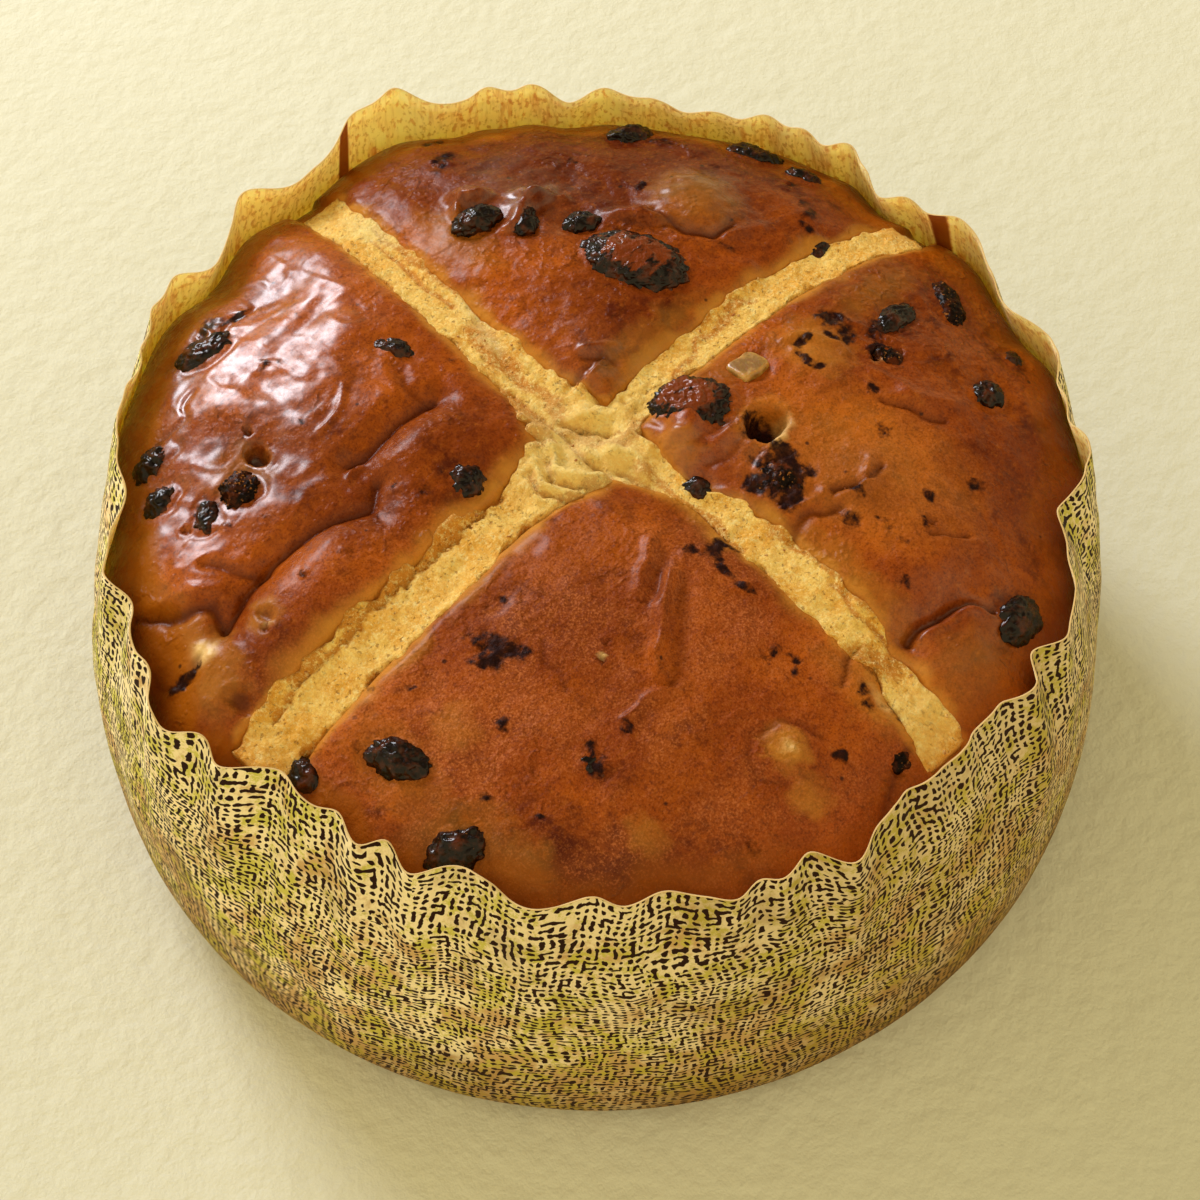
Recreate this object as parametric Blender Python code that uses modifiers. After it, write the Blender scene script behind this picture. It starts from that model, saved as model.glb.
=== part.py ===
"""A large fruited hot cross bun in the paper case that it was baked in.

Units are metres and +Z is up. The origin is the middle of the case's flat base, on the surface
that the bun stands on. The arms of the cross lie along X and Y.
"""

import math
import random

import bmesh
import bpy
from mathutils import Matrix, Vector, noise

MM = 0.001

# The paper case: a flat base, a rounded lower corner, a belly and a rim that leans in.
BASE_RADIUS = 81.2 * MM
BELLY_RADIUS = 87.8 * MM
RIM_RADIUS = 80.4 * MM
BELLY_HEIGHT = 24.0 * MM
RIM_HEIGHT = 72.5 * MM
CORNER_POWER = 4.0
SHOULDER_POWER = 2.1
PAPER = 0.5 * MM
WALL_LEVELS = (0.0, 4.0 * MM, BELLY_HEIGHT, 52.0 * MM, RIM_HEIGHT)
WALL_SEGMENTS = 144

# The rim's crimps are small and regular. Its bends are the wide dents and swells of the wall.
CRIMPS = 40
CRIMP_DEPTH = 1.0 * MM
CRIMP_START = 35.0 * MM
CRIMP_SEED = 5
BEND_START = 20.0 * MM
# direction in degrees, how far the rim stands out, half width in degrees
BENDS = (
    (-131, -3.2 * MM, 11),
    (-99, 2.2 * MM, 9),
    (-80, -2.6 * MM, 8),
    (-2, -2.2 * MM, 12),
    (36, -3.6 * MM, 9),
    (72, -2.6 * MM, 7),
    (95, -4.0 * MM, 6),
    (160, 4.2 * MM, 11),
    (-167, -3.2 * MM, 6),
)

# The loaf fills the case and domes above it.
GAP = 0.3 * MM
LOAF_EDGE = 58.0 * MM
LOAF_TOP = 79.6 * MM
DOME_POWER = 2.6
LOAF_CELLS = 26
LOAF_GATHER = 1.2  # above 1 draws the rows of the crust's mesh together along the cross
CRIMP_ROOM = 0.9 * MM
CORNER_ROOM = 1.5 * MM

# The cross: flour paste in a groove, which the dough rose around.
GROOVE_DEPTH = 4.4 * MM
GROOVE_END_DEPTH = 1.8 * MM
GROOVE_WIDTH = 8.5 * MM
PASTE_THICKNESS = 2.2 * MM
PASTE_CROWN = 0.5 * MM
ARM_STATIONS = 8
ARM_CELLS = 3
ARM_LENGTHS = {"+x": 76.0 * MM, "-x": 75.0 * MM, "+y": 75.0 * MM, "-y": 77.0 * MM}

# Swells and hollows of the crust: place, radius and height.
LUMPS = (
    (-26 * MM, 47 * MM, 9 * MM, 1.7 * MM),
    (-10 * MM, 60 * MM, 8 * MM, 1.0 * MM),
    (-45 * MM, 23 * MM, 7 * MM, 1.1 * MM),
    (6 * MM, 14 * MM, 9 * MM, 1.2 * MM),
    (31 * MM, 34 * MM, 14 * MM, 0.9 * MM),
    (52 * MM, 22 * MM, 10 * MM, 0.8 * MM),
    (-14 * MM, -50 * MM, 9 * MM, 1.5 * MM),
    (-40 * MM, -24 * MM, 16 * MM, 1.2 * MM),
    (-38 * MM, -40 * MM, 5 * MM, -1.2 * MM),
    (33 * MM, -22 * MM, 15 * MM, 0.8 * MM),
    (61 * MM, -20 * MM, 6 * MM, 0.9 * MM),
)

# Folds pressed into the crust as it rose: start, end, half width and depth.
FOLDS = (
    ((-24 * MM, -14 * MM), (-24 * MM, -31 * MM), 4.0 * MM, 1.8 * MM),
    ((-20 * MM, -40 * MM), (-20 * MM, -62 * MM), 4.0 * MM, 2.4 * MM),
    ((60 * MM, 9 * MM), (61 * MM, 20 * MM), 4.0 * MM, 1.6 * MM),
)

# The dried fruit: place, length and width in millimetres, turn in degrees, and how far its top
# stands above the crust in millimetres.
RAISINS = (
    (-47.5, 18.5, 8.0, 5.5, -45, 1.8),
    (-41.5, 24.0, 7.0, 5.0, -60, 1.0),
    (-34.5, 31.0, 6.0, 5.0, 20, 1.0),
    (-21.5, 31.0, 20.0, 12.5, -12, 3.0),
    (-4.5, 58.5, 5.5, 4.5, 0, 0.5),
    (-47.5, 56.0, 9.0, 6.5, 40, 1.5),
    (-29.5, 68.5, 10.0, 6.0, 20, 1.5),
    (-19.0, 71.0, 7.0, 5.0, 15, 1.0),
    (6.5, 15.5, 15.0, 12.0, -65, 2.0),
    (27.0, 15.0, 11.0, 8.5, -20, 0.6),
    (16.0, 55.0, 10.0, 5.0, -72, 0.8),
    (21.5, 47.0, 5.5, 4.0, 20, 0.8),
    (18.5, 66.0, 11.0, 5.5, -14, 1.2),
    (36.5, 55.0, 6.5, 6.0, 0, 1.2),
    (33.5, 65.5, 5.0, 4.0, -30, 0.8),
    (68.5, 26.0, 9.5, 7.0, -20, 2.5),
    (18.0, 5.5, 5.5, 4.0, 10, 1.0),
    (19.0, -61.5, 11.0, 6.5, 12, 1.5),
    (8.5, -72.0, 6.5, 5.0, 0, 1.2),
    (35.0, -65.0, 10.5, 7.0, 45, 1.8),
    (41.5, -42.5, 6.5, 4.5, -25, 0.5),
    (72.0, -5.5, 6.5, 4.5, -70, 1.0),
    (-36.5, -10.5, 7.5, 4.0, -5, 0.8),
    (-35.0, -46.0, 7.5, 7.0, 0, 1.5),
    (-35.5, -53.0, 7.0, 4.5, -10, 0.5),
    (-8.5, -20.5, 6.5, 6.5, 0, 1.2),
    (-53.0, -50.5, 7.5, 6.0, -60, 1.0),
    (-45.5, -55.0, 6.5, 5.0, -30, 0.8),
    (-63.0, -30.0, 11.5, 6.5, -50, 1.2),
)
RAISIN_FLATNESS = 0.78  # height over width
RAISIN_WRINKLE = 0.1
RAISIN_WRINKLE_SCALE = 1.7
RAISIN_SIDES = 8
RAISIN_RINGS = 4

# One cube of candied peel, and one burst bubble in the crust.
PEEL_PLACE = (7.5 * MM, 28.0 * MM)
PEEL_SIZE = (7.0 * MM, 6.0 * MM, 4.0 * MM)
PEEL_TURN = 20
PEEL_ROUNDING = 1.2 * MM
BUBBLE_PLACE = (18.0 * MM, 20.5 * MM)
BUBBLE_SIZE = (5.4 * MM, 4.6 * MM, 6.0 * MM)
POCKET_ROOM = 0.35 * MM
SEAT_ROOM = 0.7 * MM
SEAT_OPENING = 6.0 * MM


def clamp(value, low=0.0, high=1.0):
    return max(low, min(high, value))


def turn_between(a, b):
    """The angle from b to a in degrees, from -180 to 180."""
    return (a - b + 180.0) % 360.0 - 180.0


def crimp_rhythm():
    """The crimps' directions, as shares of a turn, and their depths. Each differs a little."""
    rng = random.Random(CRIMP_SEED)
    places = []
    depths = []
    for index in range(CRIMPS):
        places.append((index + rng.uniform(-0.22, 0.22)) / CRIMPS)
        depths.append(rng.uniform(0.45, 1.3) * CRIMP_DEPTH)
    return places, depths


CRIMP_PLACES, CRIMP_DEPTHS = crimp_rhythm()


def crimp(angle):
    """How far the crimped edge stands out at this angle in degrees: out at a crimp, in between."""
    share = (angle / 360.0) % 1.0
    after = 0
    while after < CRIMPS and CRIMP_PLACES[after] <= share:
        after += 1
    before = after - 1
    low = CRIMP_PLACES[before] - (1.0 if before < 0 else 0.0)
    high = CRIMP_PLACES[after % CRIMPS] + (1.0 if after >= CRIMPS else 0.0)
    along = (share - low) / (high - low)
    depth = CRIMP_DEPTHS[before] * (1.0 - along) + CRIMP_DEPTHS[after % CRIMPS] * along
    return depth * math.cos(2.0 * math.pi * along)


def bend(angle):
    """How far the wide dents and swells move the rim at this angle in degrees."""
    return sum(
        out * math.exp(-((turn_between(angle, place) / half) ** 2)) for place, out, half in BENDS
    )


def smooth_wall(angle, height):
    """The outside radius of the case without its crimps."""
    if height < BELLY_HEIGHT:
        share = 1.0 - height / BELLY_HEIGHT
        return BELLY_RADIUS - (BELLY_RADIUS - BASE_RADIUS) * share**CORNER_POWER
    share = (height - BELLY_HEIGHT) / (RIM_HEIGHT - BELLY_HEIGHT)
    radius = BELLY_RADIUS - (BELLY_RADIUS - RIM_RADIUS) * share**SHOULDER_POWER
    bent = clamp((height - BEND_START) / (RIM_HEIGHT - BEND_START)) if share > 0.0 else 0.0
    return radius + bend(angle) * bent**1.5


def case_wall(angle, height):
    """The outside radius of the crimped case."""
    crimped = clamp((height - CRIMP_START) / (RIM_HEIGHT - CRIMP_START))
    return smooth_wall(angle, height) + crimp(angle) * crimped**2


def flat_wall(angle, height):
    """The smooth wall as straight bands between the wall's levels, which the loaf keeps inside."""
    for low, high in zip(WALL_LEVELS, WALL_LEVELS[1:]):
        if height <= high:
            share = (height - low) / (high - low)
            return smooth_wall(angle, low) * (1.0 - share) + smooth_wall(angle, high) * share
    return smooth_wall(angle, RIM_HEIGHT)


def crust_edge(angle):
    """The radius of the loaf where its dome meets the wall."""
    return flat_wall(angle, LOAF_EDGE) - PAPER - GAP - CRIMP_ROOM


def paste_middle_x(x):
    """How far the band along X lies from the X axis."""
    left = clamp(-x / (75 * MM))
    right = clamp(x / (76 * MM))
    return (6.5 * left - 5.0 * left * (1.0 - left)) * MM + (18.0 * right * (1.0 - right) + right) * MM


def paste_middle_y(y):
    """How far the band along Y lies from the Y axis."""
    back = clamp(y / (75 * MM))
    front = clamp(-y / (77 * MM))
    return (1.8 * back - 13.0 * back * (1.0 - back)) * MM + (2.0 * front - front * (1.0 - front)) * MM


def paste_half_x(x):
    """Half the width of the band along X, which is thin just right of the middle."""
    pinch = math.exp(-(((x - 17 * MM) / (9 * MM)) ** 2))
    return (3.7 - 1.5 * pinch) * MM


def paste_half_y(y):
    """Half the width of the band along Y, which is widest towards -Y."""
    return (3.3 + 2.0 * clamp(-y / (50 * MM))) * MM


def groove(x, y):
    """The depth of the cross's groove in the crust."""
    out = clamp(math.hypot(x, y) / RIM_RADIUS)
    depth = GROOVE_DEPTH * (1.0 - out) + GROOVE_END_DEPTH * out
    from_x_band = (y - paste_middle_x(x)) / GROOVE_WIDTH
    from_y_band = (x - paste_middle_y(y)) / GROOVE_WIDTH
    near_x = math.exp(-(from_x_band**2))
    near_y = math.exp(-(from_y_band**2))
    return depth * (1.0 - (1.0 - near_x) * (1.0 - near_y))


def fold(x, y):
    """The depth of the folds in the crust."""
    depth = 0.0
    for start, end, half, deep in FOLDS:
        line = Vector(end) - Vector(start)
        share = clamp((Vector((x, y)) - Vector(start)).dot(line) / line.length_squared)
        away = (Vector((x, y)) - Vector(start) - share * line).length
        depth += deep * math.exp(-((away / half) ** 2))
    return depth


def crust_height(x, y):
    """The height of the crust, with the groove of the cross, its swells and its folds."""
    angle = math.degrees(math.atan2(y, x))
    out = clamp(math.hypot(x, y) / crust_edge(angle))
    inside = 1.0 - out**DOME_POWER
    height = LOAF_EDGE + (LOAF_TOP - LOAF_EDGE) * math.sqrt(inside)
    relief = -groove(x, y) - fold(x, y)
    for place_x, place_y, radius, rise in LUMPS:
        away = math.hypot(x - place_x, y - place_y) / radius
        relief += rise * math.exp(-(away**2))
    return height + relief * clamp(inside * 4.0)


def material(name, colour, roughness):
    made = bpy.data.materials.new(name)
    made.use_nodes = True
    shader = made.node_tree.nodes["Principled BSDF"]
    shader.inputs["Base Color"].default_value = (*colour, 1.0)
    shader.inputs["Roughness"].default_value = roughness
    shader.inputs["Metallic"].default_value = 0.0
    return made


def clear_scene():
    for obj in list(bpy.data.objects):
        bpy.data.objects.remove(obj, do_unlink=True)


def new_collection(name, helper=False):
    made = bpy.data.collections.new(name)
    bpy.context.scene.collection.children.link(made)
    made.hide_render = helper
    return made


def new_object(name, mesh, collection, look=None):
    obj = bpy.data.objects.new(name, mesh)
    collection.objects.link(obj)
    if look:
        mesh.materials.append(look)
        mesh.shade_smooth()
        mesh.set_sharp_from_angle(angle=math.radians(40))
    else:
        obj.hide_render = True
        obj.display_type = "WIRE"
    return obj


def mesh_from(bm, name):
    bmesh.ops.recalc_face_normals(bm, faces=bm.faces)
    mesh = bpy.data.meshes.new(name)
    bm.to_mesh(mesh)
    bm.free()
    return mesh


def solidified(obj, thickness):
    """Gives an open surface its thickness, inwards from the side that it faces."""
    modifier = obj.modifiers.new("thickness", "SOLIDIFY")
    modifier.thickness = thickness
    modifier.offset = -1.0
    modifier.use_even_offset = True


def carved(obj, cutters):
    """Cuts the cutters' shapes out of the object."""
    modifier = obj.modifiers.new("carve", "BOOLEAN")
    modifier.operation = "DIFFERENCE"
    modifier.operand_type = "COLLECTION"
    modifier.collection = cutters
    modifier.solver = "EXACT"


def paper_case(collection, look):
    """The case's outside: a disc for the base, drawn up the wall one level at a time."""
    bm = bmesh.new()
    bmesh.ops.create_circle(bm, cap_ends=True, radius=BASE_RADIUS, segments=WALL_SEGMENTS)
    edges = list(bm.edges)
    for level in WALL_LEVELS[1:]:
        drawn = bmesh.ops.extrude_edge_only(bm, edges=edges)["geom"]
        edges = [piece for piece in drawn if isinstance(piece, bmesh.types.BMEdge)]
        for vertex in {vertex for edge in edges for vertex in edge.verts}:
            angle = math.atan2(vertex.co.y, vertex.co.x)
            radius = case_wall(math.degrees(angle), level)
            vertex.co = Vector((radius * math.cos(angle), radius * math.sin(angle), level))
    for face in bm.faces:
        centre = face.calc_center_median()
        outward = Vector((centre.x, centre.y, 0.0)) if centre.z > 0.0 else Vector((0.0, 0.0, -1.0))
        face.normal_update()
        if face.normal.dot(outward) < 0.0:
            face.normal_flip()
    mesh = bpy.data.meshes.new("paper_case")
    bm.to_mesh(mesh)
    bm.free()
    obj = new_object("paper_case", mesh, collection, look)
    solidified(obj, PAPER)
    return obj


def gathered(value):
    """Draws a coordinate from -1 to 1 towards 0."""
    return math.copysign(abs(value) ** LOAF_GATHER, value)


def loaf(collection, look, pockets):
    """A square grid rounded into a disc is the crust. Its edge is drawn down the wall and closed."""
    bm = bmesh.new()
    bmesh.ops.create_grid(bm, x_segments=LOAF_CELLS, y_segments=LOAF_CELLS, size=1.0)
    for vertex in bm.verts:
        u = gathered(vertex.co.x)
        v = gathered(vertex.co.y)
        across = u * math.sqrt(1.0 - v * v / 2.0)
        along = v * math.sqrt(1.0 - u * u / 2.0)
        edge = crust_edge(math.degrees(math.atan2(along, across)))
        x = across * edge
        y = along * edge
        vertex.co = Vector((x, y, crust_height(x, y)))
    edges = [edge for edge in bm.edges if edge.is_boundary]
    wall_room = PAPER + GAP + 0.15 * MM
    rings = (
        (WALL_LEVELS[3], wall_room + 0.3 * MM),
        (WALL_LEVELS[2], wall_room),
        (WALL_LEVELS[1], wall_room + 0.4 * MM),
        (PAPER + GAP, CORNER_ROOM),
    )
    for level, room in rings:
        drawn = bmesh.ops.extrude_edge_only(bm, edges=edges)["geom"]
        edges = [piece for piece in drawn if isinstance(piece, bmesh.types.BMEdge)]
        for vertex in {vertex for edge in edges for vertex in edge.verts}:
            angle = math.atan2(vertex.co.y, vertex.co.x)
            radius = flat_wall(math.degrees(angle), level) - room
            vertex.co = Vector((radius * math.cos(angle), radius * math.sin(angle), level))
    bmesh.ops.contextual_create(bm, geom=edges)
    obj = new_object("loaf", mesh_from(bm, "loaf"), collection, look)
    carved(obj, pockets)
    return obj


def paste_shape(name, grow, low, high):
    """The plan of the cross as a grid without its corners, each arm bent to its own middle line.

    It lies low under the paste's crowned face and is drawn straight up to high over that face.
    """
    cells = 2 * ARM_STATIONS + ARM_CELLS
    middle = ARM_CELLS / cells
    bm = bmesh.new()
    bmesh.ops.create_grid(bm, x_segments=cells, y_segments=cells, size=1.0)
    corners = [
        face
        for face in bm.faces
        if min(abs(face.calc_center_median().x), abs(face.calc_center_median().y)) > middle
    ]
    bmesh.ops.delete(bm, geom=corners, context="FACES")
    for vertex in bm.verts:
        u, v = vertex.co.x, vertex.co.y
        out_x = clamp((abs(u) - middle) / (1.0 - middle))
        out_y = clamp((abs(v) - middle) / (1.0 - middle))
        end_x = math.copysign((ARM_LENGTHS["+x"] if u > 0 else ARM_LENGTHS["-x"]) + grow, u)
        end_y = math.copysign((ARM_LENGTHS["+y"] if v > 0 else ARM_LENGTHS["-y"]) + grow, v)
        side_x = clamp(u / middle, -1.0, 1.0)
        side_y = clamp(v / middle, -1.0, 1.0)
        near_x = side_x * paste_half_y(0.0) * (1.0 - out_x) + end_x * out_x
        near_y = side_y * paste_half_x(0.0) * (1.0 - out_y) + end_y * out_y
        start_x = paste_middle_y(near_y) + side_x * (paste_half_y(near_y) + grow)
        start_y = paste_middle_x(near_x) + side_y * (paste_half_x(near_x) + grow)
        x = start_x * (1.0 - out_x) + end_x * out_x
        y = start_y * (1.0 - out_y) + end_y * out_y
        from_middle = min(abs(side_x), abs(side_y)) if out_x + out_y == 0.0 else 0.0
        from_middle = abs(side_y) if out_x > 0.0 else from_middle
        from_middle = abs(side_x) if out_y > 0.0 else from_middle
        crown = PASTE_CROWN * (1.0 - from_middle**2)
        vertex.co = Vector((x, y, crust_height(x, y) + crown - low))
    drawn = bmesh.ops.extrude_face_region(bm, geom=bm.faces[:])["geom"]
    raised = [piece for piece in drawn if isinstance(piece, bmesh.types.BMVert)]
    bmesh.ops.translate(bm, vec=Vector((0.0, 0.0, low + high)), verts=raised)
    return mesh_from(bm, name)


def paste_cross(collection, look, pockets):
    mesh = paste_shape("cross", 0.0, PASTE_THICKNESS, 0.0)
    obj = new_object("cross", mesh, collection, look)
    carved(obj, pockets)


def paste_seat(helpers):
    """The seat of the cross in the loaf: the same plan, a gap wider and deeper, and open above."""
    low = PASTE_THICKNESS + SEAT_ROOM
    new_object("cross_seat", paste_shape("cross_seat", POCKET_ROOM, low, SEAT_OPENING), helpers)


def crust_turn(x, y):
    """The turn that stands a piece on the crust's own slope."""
    step = 2.0 * MM
    slope_x = (crust_height(x + step, y) - crust_height(x - step, y)) / (2.0 * step)
    slope_y = (crust_height(x, y + step) - crust_height(x, y - step)) / (2.0 * step)
    return Vector((-slope_x, -slope_y, 1.0)).to_track_quat("Z", "Y").to_matrix().to_4x4()


def raisin_mesh(name, size, grow, seed):
    """A flattened ball with a wrinkled skin."""
    bm = bmesh.new()
    bmesh.ops.create_uvsphere(bm, u_segments=RAISIN_SIDES, v_segments=RAISIN_RINGS, radius=1.0)
    for vertex in bm.verts:
        wrinkle = noise.noise(vertex.co * RAISIN_WRINKLE_SCALE + Vector((seed * 3.7, 0.0, 0.0)))
        vertex.co = vertex.co * (1.0 + RAISIN_WRINKLE * wrinkle)
        vertex.co = Vector([vertex.co[axis] * (size[axis] / 2.0 + grow) for axis in range(3)])
    return mesh_from(bm, name)


def raisin(index, spec, collection, look, cutters):
    x, y, length, width = (value * MM for value in spec[:4])
    turn, proud = spec[4:]
    size = (length, width, width * RAISIN_FLATNESS)
    name = f"raisin_{index:02d}"
    middle = crust_height(x, y) + proud * MM - size[2] / 2.0
    turned = crust_turn(x, y) @ Matrix.Rotation(math.radians(turn), 4, "Z")
    place = Matrix.Translation((x, y, middle)) @ turned
    obj = new_object(name, raisin_mesh(name, size, 0.0, index), collection, look)
    obj.matrix_world = place
    pocket_name = f"pocket_{index:02d}"
    pocket = new_object(pocket_name, raisin_mesh(pocket_name, size, POCKET_ROOM, index), cutters)
    pocket.matrix_world = place


def peel_mesh(name, grow):
    bm = bmesh.new()
    bmesh.ops.create_cube(bm, size=1.0)
    bmesh.ops.scale(bm, vec=[side + 2.0 * grow for side in PEEL_SIZE], verts=bm.verts)
    bmesh.ops.bevel(
        bm, geom=bm.edges[:], offset=PEEL_ROUNDING, segments=2, profile=0.5, affect="EDGES"
    )
    return mesh_from(bm, name)


def peel(collection, look, cutters):
    x, y = PEEL_PLACE
    turned = crust_turn(x, y) @ Matrix.Rotation(math.radians(PEEL_TURN), 4, "Z")
    place = Matrix.Translation((x, y, crust_height(x, y) - PEEL_SIZE[2] / 4.0)) @ turned
    obj = new_object("peel", peel_mesh("peel", 0.0), collection, look)
    obj.matrix_world = place
    pocket = new_object("pocket_peel", peel_mesh("pocket_peel", POCKET_ROOM), cutters)
    pocket.matrix_world = place


def bubble(cutters):
    """A burst bubble, a small open hollow in the crust."""
    bm = bmesh.new()
    bmesh.ops.create_uvsphere(bm, u_segments=RAISIN_SIDES, v_segments=RAISIN_RINGS, radius=0.5)
    bmesh.ops.scale(bm, vec=BUBBLE_SIZE, verts=bm.verts)
    x, y = BUBBLE_PLACE
    obj = new_object("bubble", mesh_from(bm, "bubble"), cutters)
    obj.matrix_world = Matrix.Translation((x, y, crust_height(x, y))) @ crust_turn(x, y)


def build():
    clear_scene()
    bun = new_collection("hot_cross_bun")
    fruit_pockets = new_collection("fruit_pockets", helper=True)
    loaf_hollows = new_collection("loaf_hollows", helper=True)
    loaf_hollows.children.link(fruit_pockets)

    paper = material("paper", (0.62, 0.47, 0.22), 0.7)
    crust = material("crust", (0.30, 0.075, 0.016), 0.35)
    paste = material("cross", (0.66, 0.38, 0.12), 0.6)
    fruit = material("raisin", (0.022, 0.012, 0.010), 0.3)
    candied = material("peel", (0.50, 0.31, 0.10), 0.35)

    paper_case(bun, paper)
    for index, spec in enumerate(RAISINS, start=1):
        raisin(index, spec, bun, fruit, fruit_pockets)
    peel(bun, candied, fruit_pockets)
    bubble(loaf_hollows)
    paste_seat(loaf_hollows)
    loaf(bun, crust, loaf_hollows)
    paste_cross(bun, paste, fruit_pockets)


build()
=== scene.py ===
import math

import bmesh
import bpy
import numpy as np
from mathutils import Matrix, Vector


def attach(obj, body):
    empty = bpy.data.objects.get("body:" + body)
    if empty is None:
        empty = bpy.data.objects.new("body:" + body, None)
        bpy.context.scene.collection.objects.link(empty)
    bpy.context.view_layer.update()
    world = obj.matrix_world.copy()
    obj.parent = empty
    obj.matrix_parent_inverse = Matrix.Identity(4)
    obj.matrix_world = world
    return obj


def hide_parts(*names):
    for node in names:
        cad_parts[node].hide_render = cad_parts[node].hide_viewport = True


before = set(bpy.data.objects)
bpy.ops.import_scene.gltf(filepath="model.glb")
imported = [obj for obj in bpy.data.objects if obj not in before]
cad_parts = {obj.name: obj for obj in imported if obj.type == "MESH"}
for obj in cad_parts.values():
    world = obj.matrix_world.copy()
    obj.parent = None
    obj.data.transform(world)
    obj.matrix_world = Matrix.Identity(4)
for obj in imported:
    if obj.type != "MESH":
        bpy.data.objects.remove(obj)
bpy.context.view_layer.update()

# ------------------------------------------------------------------------------- The paper case
# A disc of greaseproof baking paper, pressed up into a round case. The press leaves crimps at the
# rim that run out down the wall, and the dough has since pushed dents and swells into it. The
# outside has a coarse-weave print in dark brown ink, and the lining is plain and stained with fat.

# millimetres, from the middle of the base
BASE_RADIUS = 81.2
BELLY_RADIUS = 87.8
RIM_RADIUS = 80.4
BELLY_HEIGHT = 24.0
RIM_HEIGHT = 72.5
CORNER_POWER = 4.0
SHOULDER_POWER = 2.1
PAPER = 0.3
BEND_START = 20.0
CRIMP_START = 33.0

# The wall's dents, swells and folds: direction in degrees, how far the rim stands out, half width.
BENDS = (
    (-131, -3.2, 11), (-99, 2.2, 9), (-80, -2.6, 8), (-2, -2.2, 12), (36, -3.6, 9), (72, -2.6, 7),
    (95, -4.0, 6), (160, 4.2, 11), (-167, -3.2, 6), (-140, -1.8, 3.5), (-112, -2.0, 3),
    (-84, -2.4, 2.8), (-70, 1.6, 3.5), (-60, -1.6, 2.8), (-50, 1.6, 3), (-38, -1.8, 3),
    (-19, -1.6, 3.2), (12, 1.6, 4),
)

# The crests and hollows of the crimped rim: direction in degrees and radius.
RIM_LINE = (
    (-169.5, 77.5), (-166, 77.9), (-162.4, 81.6), (-157.7, 81.4), (-154.5, 80.0), (-151, 79.2),
    (-145.5, 79.1), (-141.5, 80.0), (-136, 79.2), (-131, 76.9), (-125, 79.0), (-120, 82.2),
    (-114, 79.3), (-110, 81.5), (-105.5, 80.6), (-97.7, 85.2), (-94, 81.0), (-90, 82.0),
    (-87, 79.4), (-82, 76.7), (-78, 78.3), (-75, 77.2), (-71, 80.8), (-68.7, 78.8),
    (-65.3, 81.9), (-62, 80.0), (-57.5, 79.2), (-54, 82.2), (-50.5, 83.9), (-45.3, 81.2),
    (-43, 82.3), (-38.5, 80.8), (-33, 83.0), (-30, 84.5), (-27.4, 82.0), (-25.3, 82.4),
    (-21.5, 80.6), (-17.3, 84.8), (-14, 82.2), (-10.5, 79.6), (-6, 78.8), (-2.5, 79.2),
    (3.5, 78.6), (9, 79.6), (12.5, 81.4), (16.2, 78.6), (19.5, 82.5), (23, 81.6),
    (28, 79.8), (32, 78.2), (36, 75.7), (45.5, 81.5), (50.5, 78.7), (57, 78.4),
    (63.2, 80.8), (67.2, 77.2), (72, 76.9), (76.5, 78.3), (80, 81.0), (84.5, 80.5),
    (88, 78.0), (91, 77.3), (94, 75.1), (100.6, 81.2), (104, 79.7), (112, 80.5),
    (117, 79.1), (124, 78.5), (133.7, 81.6), (138.8, 79.0), (143.8, 83.7), (146.6, 82.7),
    (149.6, 83.7), (153.2, 81.8), (159.6, 88.0), (167.5, 84.4), (172, 79.8), (177.6, 80.0),
    (183, 83.6), (188, 79.4),
)
TIP = (159.5, 0.9, 3.5)  # one crimp stands up in a point: direction, rise and half width
RIPPLE_OUT = 0.84  # a crest leans out by this share of its step, and lifts by the next one
RIPPLE_UP = 0.36
RIPPLE_TURN = 135.0  # a crest lifts on this side, and dips on the far one
CREST_SPREAD = 30.0  # degrees over which a crest's straight slopes fade
CREST_BLUNT = 1.3
CRIMPS_ROUND = 54  # the press's small crimps
CRIMP_SWAY = ((7.0, 1.6), (3.0, 1.3))  # they crowd and spread: how often round, and how far
SCALLOP = 0.4  # how far a small crimp lifts the rim
FLUTE = 0.35  # and how far it stands out of the wall


class Wire:
    """One output in a node tree. Arithmetic on it adds the Math nodes that an expression needs."""

    def __init__(self, tree, socket):
        self.tree = tree
        self.socket = socket

    def other(self, label):
        """Another output of the same node."""
        return Wire(self.tree, self.socket.node.outputs[label])

    def maths(self, operation, *others):
        return add(self.tree, "ShaderNodeMath", {"operation": operation}, (self, *others))

    def __add__(self, other):
        return self.maths("ADD", other)

    def __radd__(self, other):
        return self.maths("ADD", other)

    def __sub__(self, other):
        return self.maths("SUBTRACT", other)

    def __rsub__(self, other):
        return add(self.tree, "ShaderNodeMath", {"operation": "SUBTRACT"}, (other, self))

    def __mul__(self, other):
        return self.maths("MULTIPLY", other)

    def __rmul__(self, other):
        return self.maths("MULTIPLY", other)

    def __truediv__(self, other):
        return self.maths("DIVIDE", other)

    def __pow__(self, other):
        return self.maths("POWER", other)

    def __neg__(self):
        return self.maths("MULTIPLY", -1.0)


def find(sockets, key):
    """A node's socket by its place, or the one in use with that name or identifier."""
    if isinstance(key, int):
        return sockets[key]
    return next(s for s in sockets if key == s.identifier or (s.enabled and key == s.name))


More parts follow.
